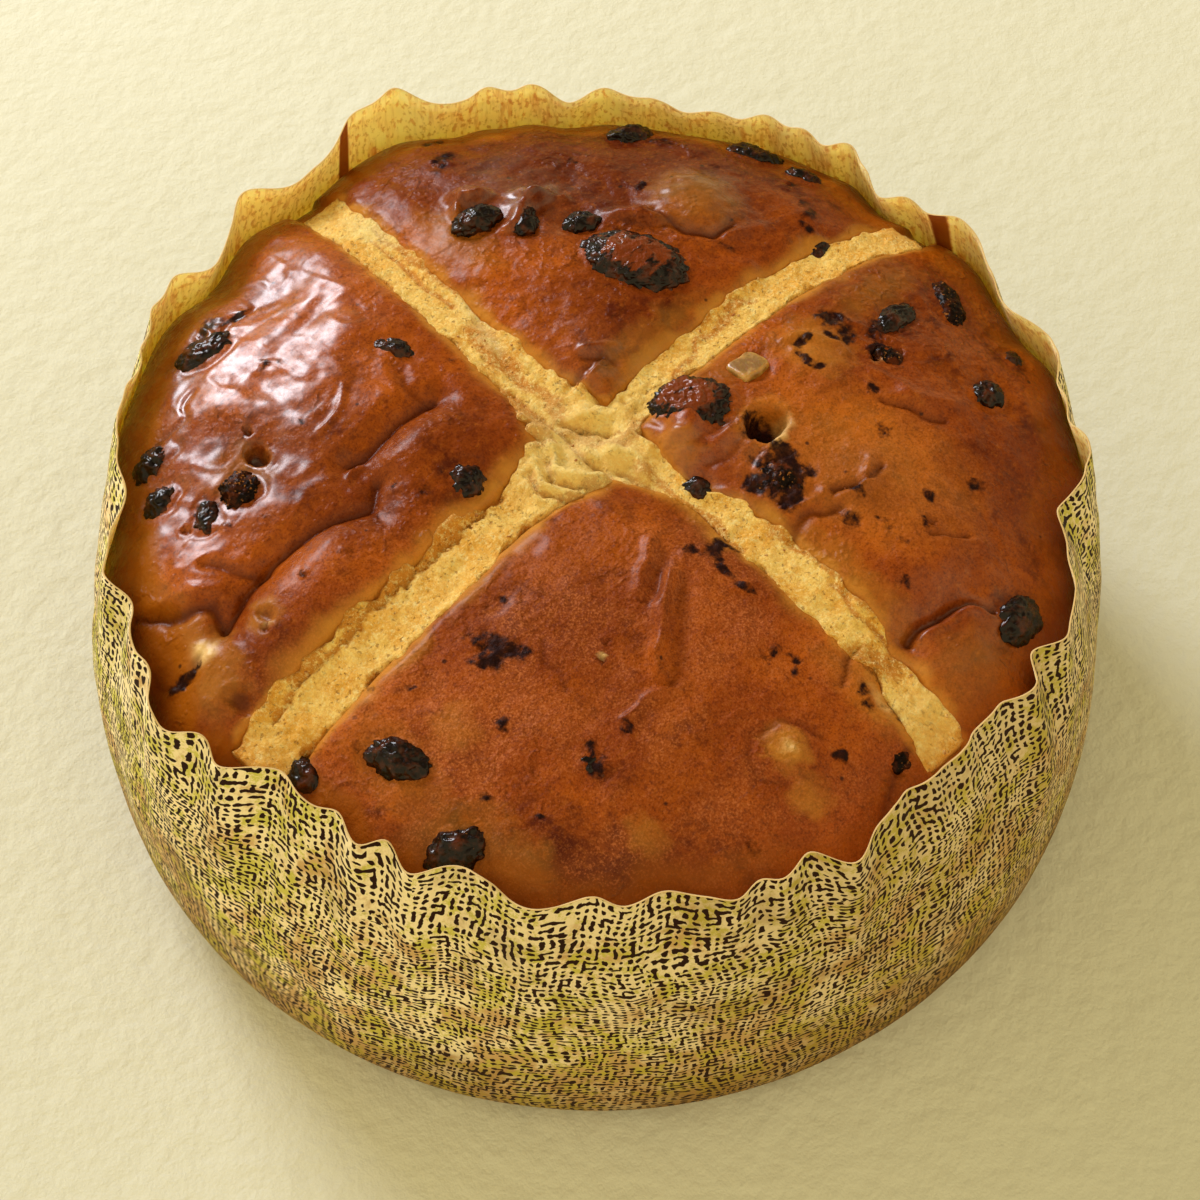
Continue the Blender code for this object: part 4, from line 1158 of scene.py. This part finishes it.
def paste_plan():
    """The cross as a grid without its corners, each arm bent to its own middle line."""
    cells = 2 * ARM_CELLS + BAND_CELLS
    middle = BAND_CELLS / cells
    steps = np.linspace(-1.0, 1.0, cells + 1)
    u, v = (grid.ravel() for grid in np.meshgrid(steps, steps))
    out_x = clamp((np.abs(u) - middle) / (1.0 - middle))
    out_y = clamp((np.abs(v) - middle) / (1.0 - middle))
    end_x = np.where(u > 0.0, ARM_REACH["+x"], -ARM_REACH["-x"])
    end_y = np.where(v > 0.0, ARM_REACH["+y"], -ARM_REACH["-y"])
    side_x = np.clip(u / middle, -1.0, 1.0)
    side_y = np.clip(v / middle, -1.0, 1.0)
    along_x = side_x * band_half_y(0.0) * (1.0 - out_x) + end_x * out_x
    along_y = side_y * band_half_x(0.0) * (1.0 - out_y) + end_y * out_y
    half_y = band_half_y(along_y) * ragged(along_y, side_x, 51) + 0.5
    half_x = band_half_x(along_x) * ragged(along_x, side_y, 52) + 0.5
    from_x_arm = band_middle_y(along_y) + side_x * half_y
    from_y_arm = band_middle_x(along_x) + side_y * half_x
    x = from_x_arm * (1.0 - out_x) + end_x * out_x
    y = from_y_arm * (1.0 - out_y) + end_y * out_y
    across = np.minimum(np.abs(side_x), np.abs(side_y))
    across = np.where(out_x > 0.0, np.abs(side_y), across)
    across = np.where(out_y > 0.0, np.abs(side_x), across)
    cell = np.arange(cells)
    centre = (cell + 0.5) / cells * 2.0 - 1.0
    inside = np.minimum(np.abs(centre[:, None]), np.abs(centre[None, :])) < middle
    corner = (cell[:, None] * (cells + 1) + cell[None, :])[inside]
    faces = np.stack([corner, corner + 1, corner + cells + 2, corner + cells + 1], axis=1)
    used, faces = np.unique(faces, return_inverse=True)
    return x[used], y[used], across[used], faces.reshape(-1, 4)


def baked_paste():
    look = new_look("cross_paste", Specular_IOR_Level=0.2)
    place = in_mm(look.node_tree)
    brown, wet, torn = (painted_wire(look.node_tree, label) for label in ("brown", "wet", "torn"))
    dry = 1.0 - torn * 0.75
    broad = noise(place, 6.0, 3.0, 0.6, 1.0)
    grain = noise(place, 0.9, 5.0, 0.8, 2.0)
    fine = noise(place, 0.36, 2.0, 0.7, 3.0)
    sand = cells(place, 1.7)
    pores = rise(noise(place, 0.8, 2.0, 0.6, 4.0), 0.6, 0.7)
    toasted = rise(brown + (grain - 0.5) * 1.6 + (broad - 0.5) * 0.8, 0.3, 0.95) * 0.85
    colour = layered(
        PASTE_PALE,
        (PASTE_GOLD, rise(broad, 0.4, 0.62) * (1.0 - torn * 0.5)),
        (PASTE_TOASTED, toasted),
        (PASTE_TOASTED, rise(grain, 0.52, 0.66) * dry * 0.4),
        (PASTE_CRUMB, rise(1.0 - grain, 0.5, 0.64) * 0.7),
        (PASTE_TOASTED, rise(sand, 0.5, 0.85) * dry * 0.25),
        (PASTE_CRUMB, rise(fine, 0.54, 0.7) * 0.55),
        (PASTE_TOASTED, rise(1.0 - fine, 0.54, 0.7) * dry * 0.25),
        (PASTE_PORE, pores * dry * 0.5),
        # Painted highlight on the wet spots, and pale crumb where the middle is torn.
        (PASTE_CRUMB, clamp(wet * 0.5 + torn * 0.35)),
    )
    feed(look, "Base Color", colour)
    feed(look, "Roughness", 0.62 - wet * 0.4)
    relief = grain * 1.2 + fine * 0.4 - sand * 0.4 - pores * 0.7
    feed(look, "Normal", bump(relief, 0.8, 0.0006))
    return look


def walls_in_order(bm, flat):
    """Put the walls that were drawn out last in one fixed order, so that the crumbs fall alike."""
    bm.verts.index_update()
    bm.faces.index_update()

    def turn(face):
        low, high = sorted(corner.index for corner in face.verts)[:2]
        return face.index if face.index < flat else flat + low * len(bm.verts) + high

    bm.faces.sort(key=turn)


def paste_mesh():
    """The bands on the crust: lifted, lumpy and cracked on top, and closed underneath."""
    x, y, across, faces = paste_plan()
    grain = value_noise(x, y, 1.3, 61) * 0.24 + value_noise(x, y, 0.7, 62) * 0.18
    lumps = value_noise(x, y, 3.4, 63) * 0.45
    torn = hump(np.hypot(x - 0.5, y + 4.0), 0.0, TORN_REACH)
    lifted = PASTE_LIFT * (1.0 - across**4) - PASTE_EDGE_DROP * clamp((across - 0.86) / 0.14)
    relief = lifted + grain + lumps * (0.6 + 1.6 * torn)
    cracked = (x + grain * 2.0, y + lumps)
    for lift, ridge in near_lines(*cracked, PASTE_LINES):
        relief = relief + lift * (1.0 + 0.5 * torn) * ridge
    z = crust(x, y) + relief
    mesh = mesh_of("cross_dressed", np.stack([x, y, z], axis=1), faces.tolist(), baked_paste())
    brown = np.zeros(np.shape(x))
    baked = [(1.0, half, points) for half, points in PASTE_BROWN]
    for strength, near_it in near_lines(x + lumps * 3.0, y + lumps * 3.0, baked):
        brown = np.maximum(brown, strength * near_it)
    cracks = [(0.9, half / 0.8, points) for lift, half, points in PASTE_LINES if lift < 0.0]
    for strength, near_it in near_lines(*cracked, cracks):
        brown = np.maximum(brown, strength * near_it)
    edges = 0.85 * clamp((across - 0.5) / 0.5) * (0.7 + 0.6 * value_noise(x, y, 4.0, 64))
    end_of_arm = hump(x, *PALE_END) * (x > 0.0)
    paint(mesh, "brown", clamp(brown + edges))
    paint(mesh, "wet", painted(x, y, PASTE_WET_AND_HIGHLIT, 0.8))
    paint(mesh, "torn", clamp(torn * 1.5 - 0.2 + end_of_arm))
    bm = bmesh.new()
    bm.from_mesh(mesh)
    drawn = bmesh.ops.extrude_face_region(bm, geom=bm.faces[:])["geom"]
    sunk = [piece for piece in drawn if isinstance(piece, bmesh.types.BMVert)]
    bmesh.ops.translate(bm, vec=Vector((0.0, 0.0, -PASTE_DEPTH * 0.001)), verts=sunk)
    bmesh.ops.recalc_face_normals(bm, faces=bm.faces)
    walls_in_order(bm, 2 * len(faces))
    bm.to_mesh(mesh)
    bm.free()
    return mesh


cross_mesh = paste_mesh()
show("cross_dressed", cross_mesh, "cross", "cross")

# ------------------------------------------------------------------------------- The dried fruit
# Raisins and currants, black-brown and wrinkled, soaked and then glazed with the bun, so that they
# are glossy, with crumbs of dough baked on. The same wrinkled form serves all, each with its own
# size and its own wrinkles.

FRUIT_BLACK = linear(17, 5, 2)
FRUIT_BROWN = linear(66, 28, 10)
FRUIT_RED = linear(110, 46, 12)
FRUIT_DUST = linear(186, 116, 56)
FRUIT_FILM = linear(128, 54, 12)
FRUIT_SWAY_SIZE = 1.0 / 0.35
FRUIT_SWAY = 2.2
# How deep the wrinkles are cut, as a share of the fruit's own size.
LUMP_DEPTH = 0.8
CREASE_DEPTH = 0.13
PLEAT_DEPTH = 0.08
USUAL_FRUIT = 8.0  # the wrinkles of a longer raisin are no higher than those of one this long
LARGE_FRUIT = 12.0  # a raisin longer than this has a finer mesh, and dough baked over its top
SEED_STEP = 3.7  # from one raisin to the next, so that no two are wrinkled alike


def fruit_skin(name, gloss, dustiness):
    look = new_look(name, Coat_Weight=gloss, Coat_Roughness=0.08, Specular_IOR_Level=0.05)
    place = in_mm(look.node_tree)
    folds = noise(place, 1.8, 3.0, 0.6, 1.0)
    grain = noise(place, 0.5, 2.0, 0.6, 2.0)
    red = rise(noise(place, 2.6, 2.0, 0.5, 3.0), 0.54, 0.7)
    dust = rise(noise(place, 0.7, 3.0, 0.65, 5.0), 0.68 - dustiness * 0.1, 0.76 - dustiness * 0.1)
    streaks = noise(scaled(place, (1.0, 0.5, 1.0)), 1.8, 3.0, 0.6, 7.0) - 0.5
    film = rise(painted_wire(look.node_tree, "film") + streaks * 2.4, 0.56, 0.86)
    colour = layered(
        FRUIT_BLACK,
        (FRUIT_BROWN, rise(folds, 0.46, 0.68)),
        (FRUIT_RED, red * 0.5),
        (FRUIT_DUST, dust * 0.7),
        (FRUIT_FILM, film * 0.88),
    )
    feed(look, "Base Color", colour)
    feed(look, "Roughness", 0.3 + grain * 0.25 + dust * 0.3)
    pimples = noise(place, 0.7, 2.0, 0.6, 8.0)
    feed(look, "Normal", bump(folds * 0.9 + pimples * 0.7 + grain * 0.3, 0.8, 0.0006))
    return look


def wrinkle(place, size, seed, width):
    """1 along the lines where soft noise crosses its middle, and 0 away from them."""
    return 1.0 - rise((noise(place, size, 1.0, 0.5, seed) - 0.5).maths("ABSOLUTE"), 0.0, width)


def vector_of(value):
    return joined(value, value, value)


def raisin_tree(look):
    sizes = {"Length": 9.0, "Width": 7.0, "Height": 5.0, "Seed": 0.0, "Film": 0.0, "Wrinkle": 1.0}
    tree, size = shape_tree("raisin_shape", {**sizes, "Detail": 5})
    seed = size["Seed"]
    ball_sockets = {"Radius": 1.0, "Subdivisions": size["Detail"]}
    ball = add(tree, "GeometryNodeMeshIcoSphere", None, ball_sockets)
    spot = add(tree, "GeometryNodeInputPosition")
    halves = joined(size["Length"], size["Width"], size["Height"])
    full = scaled(spot, scaled(halves, (0.5, 0.5, 0.5)))
    sway = noise(full, FRUIT_SWAY_SIZE, 1.0, 0.5, seed, "Color")
    push = moved(full, scaled(sway, (FRUIT_SWAY, FRUIT_SWAY, FRUIT_SWAY)))
    lumps = noise(push, 3.2, 2.0, 0.6, seed + 5.0) - 0.5
    crease = wrinkle(push, 2.4, seed, 0.13)
    pleat = wrinkle(push, 1.2, seed + 3.0, 0.14)
    cuts = lumps * LUMP_DEPTH + crease * CREASE_DEPTH + pleat * PLEAT_DEPTH
    grow = 0.95 + cuts * size["Wrinkle"]
    settled = scaled(scaled(full, (0.001, 0.001, 0.001)), vector_of(grow))
    top = rise(parts_of(spot).other("Z"), 0.5, 0.92) * size["Film"]
    shape = step(ball, "StoreNamedAttribute", {"data_type": "FLOAT"}, Name="film", Value=top)
    shape = step(shape, "SetPosition", Position=settled)
    close_tree(shape, (look, True))
    return tree


GLOSSY_RAISIN = raisin_tree(fruit_skin("raisin_glossy", 0.4, 0.0))
BAKED_RAISIN = raisin_tree(fruit_skin("raisin_baked", 0.06, 1.0))
BAKED_DRY = ("raisin_10", "raisin_12", "raisin_13", "raisin_22", "raisin_24")


def placed(mesh, node):
    """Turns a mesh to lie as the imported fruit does, and moves it there."""
    middle, _, axes = FRUIT[node]
    turn = Matrix(axes.T.tolist()).to_4x4()
    mesh.transform(Matrix.Translation(Vector(middle * 0.001)) @ turn)
    mesh.shade_smooth()
    return mesh


for index, node in enumerate(RAISIN_NODES):
    length, width, height = (FRUIT[node][1] * 2.0).tolist()
    large = length > LARGE_FRUIT
    values = {
        "Length": length,
        "Width": width,
        "Height": height,
        "Seed": index * SEED_STEP,
        "Detail": 6 if large else 5,
        "Film": 0.95 if large else 0.1,
        "Wrinkle": min(1.0, USUAL_FRUIT / length),
    }
    shape = BAKED_RAISIN if node in BAKED_DRY else GLOSSY_RAISIN
    mesh = placed(grown(node + "_dressed", shape, values), node)
    show(node + "_dressed", mesh, "raisin", node)

# ------------------------------------------------------------------------------- The peel
# A cube of candied citrus peel, cut by a machine, boiled in sugar until it is half clear, and
# pressed into the dough. Its cut edges dried first and stand up as a rim.

PEEL_CELLS = 24
PEEL_POWER = 4  # the higher, the sharper the cube's corners
PEEL_DISH = 0.12
PEEL_DARK = linear(134, 90, 26)
PEEL_CLEAR = linear(178, 132, 54)
PEEL_RIM = linear(210, 156, 72)
PEEL_SINK = 0.4
PEEL_SHRUNK = 0.9  # the share of the cube's width that is left after the sugar


def candied():
    look = new_look(
        "candied_peel",
        Subsurface_Weight=0.35,
        Subsurface_Scale=0.002,
        Coat_Weight=0.3,
        Coat_Roughness=0.15,
    )
    place = in_mm(look.node_tree)
    cloud = noise(place, 1.8, 3.0, 0.6, 1.0)
    rim = painted_wire(look.node_tree, "rim")
    colour = layered(PEEL_DARK, (PEEL_CLEAR, rise(cloud, 0.4, 0.65)), (PEEL_RIM, rim * 0.6))
    feed(look, "Base Color", colour)
    feed(look, "Roughness", 0.3 + cloud * 0.2)
    feed(look, "Normal", bump(noise(place, 0.8, 3.0, 0.6, 2.0), 0.4, 0.0003))
    return look


def peel_mesh():
    """A rounded block with a dished top."""
    bm = bmesh.new()
    bmesh.ops.create_cube(bm, size=2.0)
    bmesh.ops.subdivide_edges(bm, edges=bm.edges[:], cuts=PEEL_CELLS, use_grid_fill=True)
    half = FRUIT["peel"][1]
    rims = []
    for vertex in bm.verts:
        x, y, z = vertex.co
        length = sum(abs(side) ** PEEL_POWER for side in (x, y, z)) ** (1.0 / PEEL_POWER)
        x, y, z = x / length, y / length, z / length
        edge = max(abs(x), abs(y))
        dish = max(0.0, z) * max(0.0, 1.0 - (edge / 0.8) ** 4) * PEEL_DISH
        slump = 0.06 * math.sin(5.0 * x + 1.0) + 0.05 * math.sin(6.0 * y)
        height = (z - dish) * half[2] - PEEL_SINK
        across, along = (x + slump * y) * half[0], (y - slump) * half[1]
        vertex.co = Vector((across * PEEL_SHRUNK, along * PEEL_SHRUNK, height)) * 0.001
        rims.append(max(0.0, 1.0 - abs(edge - 0.84) / 0.14) * (z > 0.3))
    mesh = bpy.data.meshes.new("peel_dressed")
    bmesh.ops.recalc_face_normals(bm, faces=bm.faces)
    bm.to_mesh(mesh)
    bm.free()
    paint(mesh, "rim", rims)
    mesh.materials.append(candied())
    return mesh


show("peel_dressed", placed(peel_mesh(), "peel"), "peel", "peel")

# ------------------------------------------------------------------------------- The crumbs
# Dry crumbs of the baked flour paste, broken off the cross when the bun was handled. They lie loose
# on the paste and along its edges.

CRUMB_PALE = linear(236, 200, 128)
CRUMB_BROWN = linear(170, 104, 38)


def crumb_look():
    look = new_look("crumb", Roughness=0.75)
    place = in_mm(look.node_tree)
    feed(look, "Base Color", mix(CRUMB_PALE, CRUMB_BROWN, rise(noise(place, 1.1, 2.0), 0.4, 0.62)))
    feed(look, "Normal", bump(noise(place, 0.2, 2.0), 0.5, 0.0002))
    return look


def drawn_by_lot(tree, kind, low, high, seed, output=0):
    """A random value between two, for each crumb."""
    place = "_001" if kind == "FLOAT" else ""
    sockets = {"Min" + place: low, "Max" + place: high, "Seed": seed}
    return add(tree, "FunctionNodeRandomValue", {"data_type": kind}, sockets, output)


def crumb_tree():
    sizes = {"Crumbs per square metre": 90000.0, "Smallest": 0.00016, "Largest": 0.00042, "Seed": 4}
    tree, size = shape_tree("crumb_scatter", sizes)
    seed = size["Seed"]
    spot = add(tree, "GeometryNodeInputPosition")
    brown = add(tree, "GeometryNodeInputNamedAttribute", {"data_type": "FLOAT"}, {"Name": "brown"})
    upward = parts_of(add(tree, "GeometryNodeInputNormal")).other("Z").maths("GREATER_THAN", 0.5)
    patches = rise(noise(spot, 0.008, 2.0, 0.5, 3.0), 0.46, 0.62)
    density = (brown * 1.3 + 0.25) * patches * size["Crumbs per square metre"]
    sockets = {"Mesh": size["Surface"], "Selection": upward, "Density": density, "Seed": seed}
    points = add(tree, "GeometryNodeDistributePointsOnFaces", {"distribute_method": "RANDOM"}, sockets)
    crumb = add(tree, "GeometryNodeMeshIcoSphere", None, {"Radius": 1.0, "Subdivisions": 1})
    scale = drawn_by_lot(tree, "FLOAT", size["Smallest"], size["Largest"], seed, "Value_001")
    squash = drawn_by_lot(tree, "FLOAT_VECTOR", (0.6, 0.6, 0.5), (1.4, 1.1, 1.0), seed)
    turn = drawn_by_lot(tree, "FLOAT_VECTOR", (0.0, 0.0, 0.0), (math.tau, math.tau, math.tau), seed)
    size_of_each = scaled(squash, vector_of(scale))
    sockets = {"Points": points, "Instance": crumb, "Rotation": turn, "Scale": size_of_each}
    close_tree(add(tree, "GeometryNodeInstanceOnPoints", None, sockets), (crumb_look(), True))
    return tree


crumb_mesh = grown("paste_crumbs", crumb_tree(), None, cross_mesh)
show("paste_crumbs", crumb_mesh, "cross")

# ------------------------------------------------------------------------------- The studio
# A plain pale plaster floor, one large soft lamp behind the bun on the left, and a warm pale
# surround that is darker on the far side. They aren't part of the bun.
VIEW_TURN = math.radians(45.0)
VIEW_RISE = math.radians(56.36)
VIEW_DISTANCE = 0.560
VIEW_RIGHT = 0.00064  # the point looked at lies this far right of the bun's middle
VIEW_BEHIND = 0.02016  # and this far behind it
LENS = 89.7
KEY_PLACE = Vector((-0.86, 0.13, 0.50)) * 1.3
KEY_WIDTH = 0.52
KEY_POWER = 15.0
KEY_COLOUR = (0.86, 0.90, 0.98)
SURROUND = (1.0, 0.88, 0.50, 1.0)
DARK_SIDE = (-0.39, 0.39, 0.83)
FLOOR_PALE = linear(230, 226, 208)
FLOOR_WARM = linear(222, 217, 196)
right = Vector((math.cos(VIEW_TURN), math.sin(VIEW_TURN), 0.0))
away = Vector((-math.sin(VIEW_TURN), math.cos(VIEW_TURN), 0.0))
back = Vector((0.0, 0.0, math.sin(VIEW_RISE))) - away * math.cos(VIEW_RISE)


def aimed(obj, place, target):
    bpy.context.scene.collection.objects.link(obj)
    obj.location = place
    obj.rotation_euler = (Vector(target) - Vector(place)).to_track_quat("-Z", "Y").to_euler()
    return obj


look_at = right * VIEW_RIGHT + away * VIEW_BEHIND
camera = bpy.data.objects.new("camera", bpy.data.cameras.new("camera"))
camera.data.lens = LENS
camera.data.sensor_width = 36.0
camera.data.clip_start = 0.01
aimed(camera, look_at + back * VIEW_DISTANCE, look_at)
bpy.context.scene.camera = camera


def lamp(name, place, width, power, colour):
    light = bpy.data.lights.new(name, "AREA")
    light.shape = "DISK"
    light.size = width
    light.energy = power
    light.color = colour
    return aimed(bpy.data.objects.new(name, light), place, (0.0, 0.0, 0.05))


lamp("key", KEY_PLACE, KEY_WIDTH, KEY_POWER, KEY_COLOUR)

world = bpy.data.worlds.new("surround")
world.use_nodes = True
heading = add(world.node_tree, "ShaderNodeTexCoord", output="Generated")
turned_to = {"operation": "DOT_PRODUCT"}
facing = add(world.node_tree, "ShaderNodeVectorMath", turned_to, (heading, DARK_SIDE), "Value")
strength = 1.08 - rise(facing, 0.45, 0.92) * 0.86
background = world.node_tree.nodes["Background"]
background.inputs["Color"].default_value = SURROUND
world.node_tree.links.new(strength.socket, background.inputs["Strength"])
bpy.context.scene.world = world
bpy.context.scene.view_settings.view_transform = "Standard"


def plaster_floor():
    look = new_look("floor_plaster", Roughness=0.85)
    place = in_mm(look.node_tree)
    swells = noise(place, 90.0, 2.0, 0.5, 1.0)
    feed(look, "Base Color", mix(FLOOR_PALE, FLOOR_WARM, swells))
    grain = noise(place, 5.0, 4.0, 0.6, 2.0)
    feed(look, "Normal", bump(grain, 0.35, 0.0022))
    bm = bmesh.new()
    bmesh.ops.create_grid(bm, x_segments=4, y_segments=4, size=3.0)
    mesh = bpy.data.meshes.new("floor")
    bm.to_mesh(mesh)
    bm.free()
    mesh.materials.append(look)
    floor = bpy.data.objects.new("floor", mesh)
    bpy.context.scene.collection.objects.link(floor)
    floor.location.z = -0.0002
    return floor


plaster_floor()
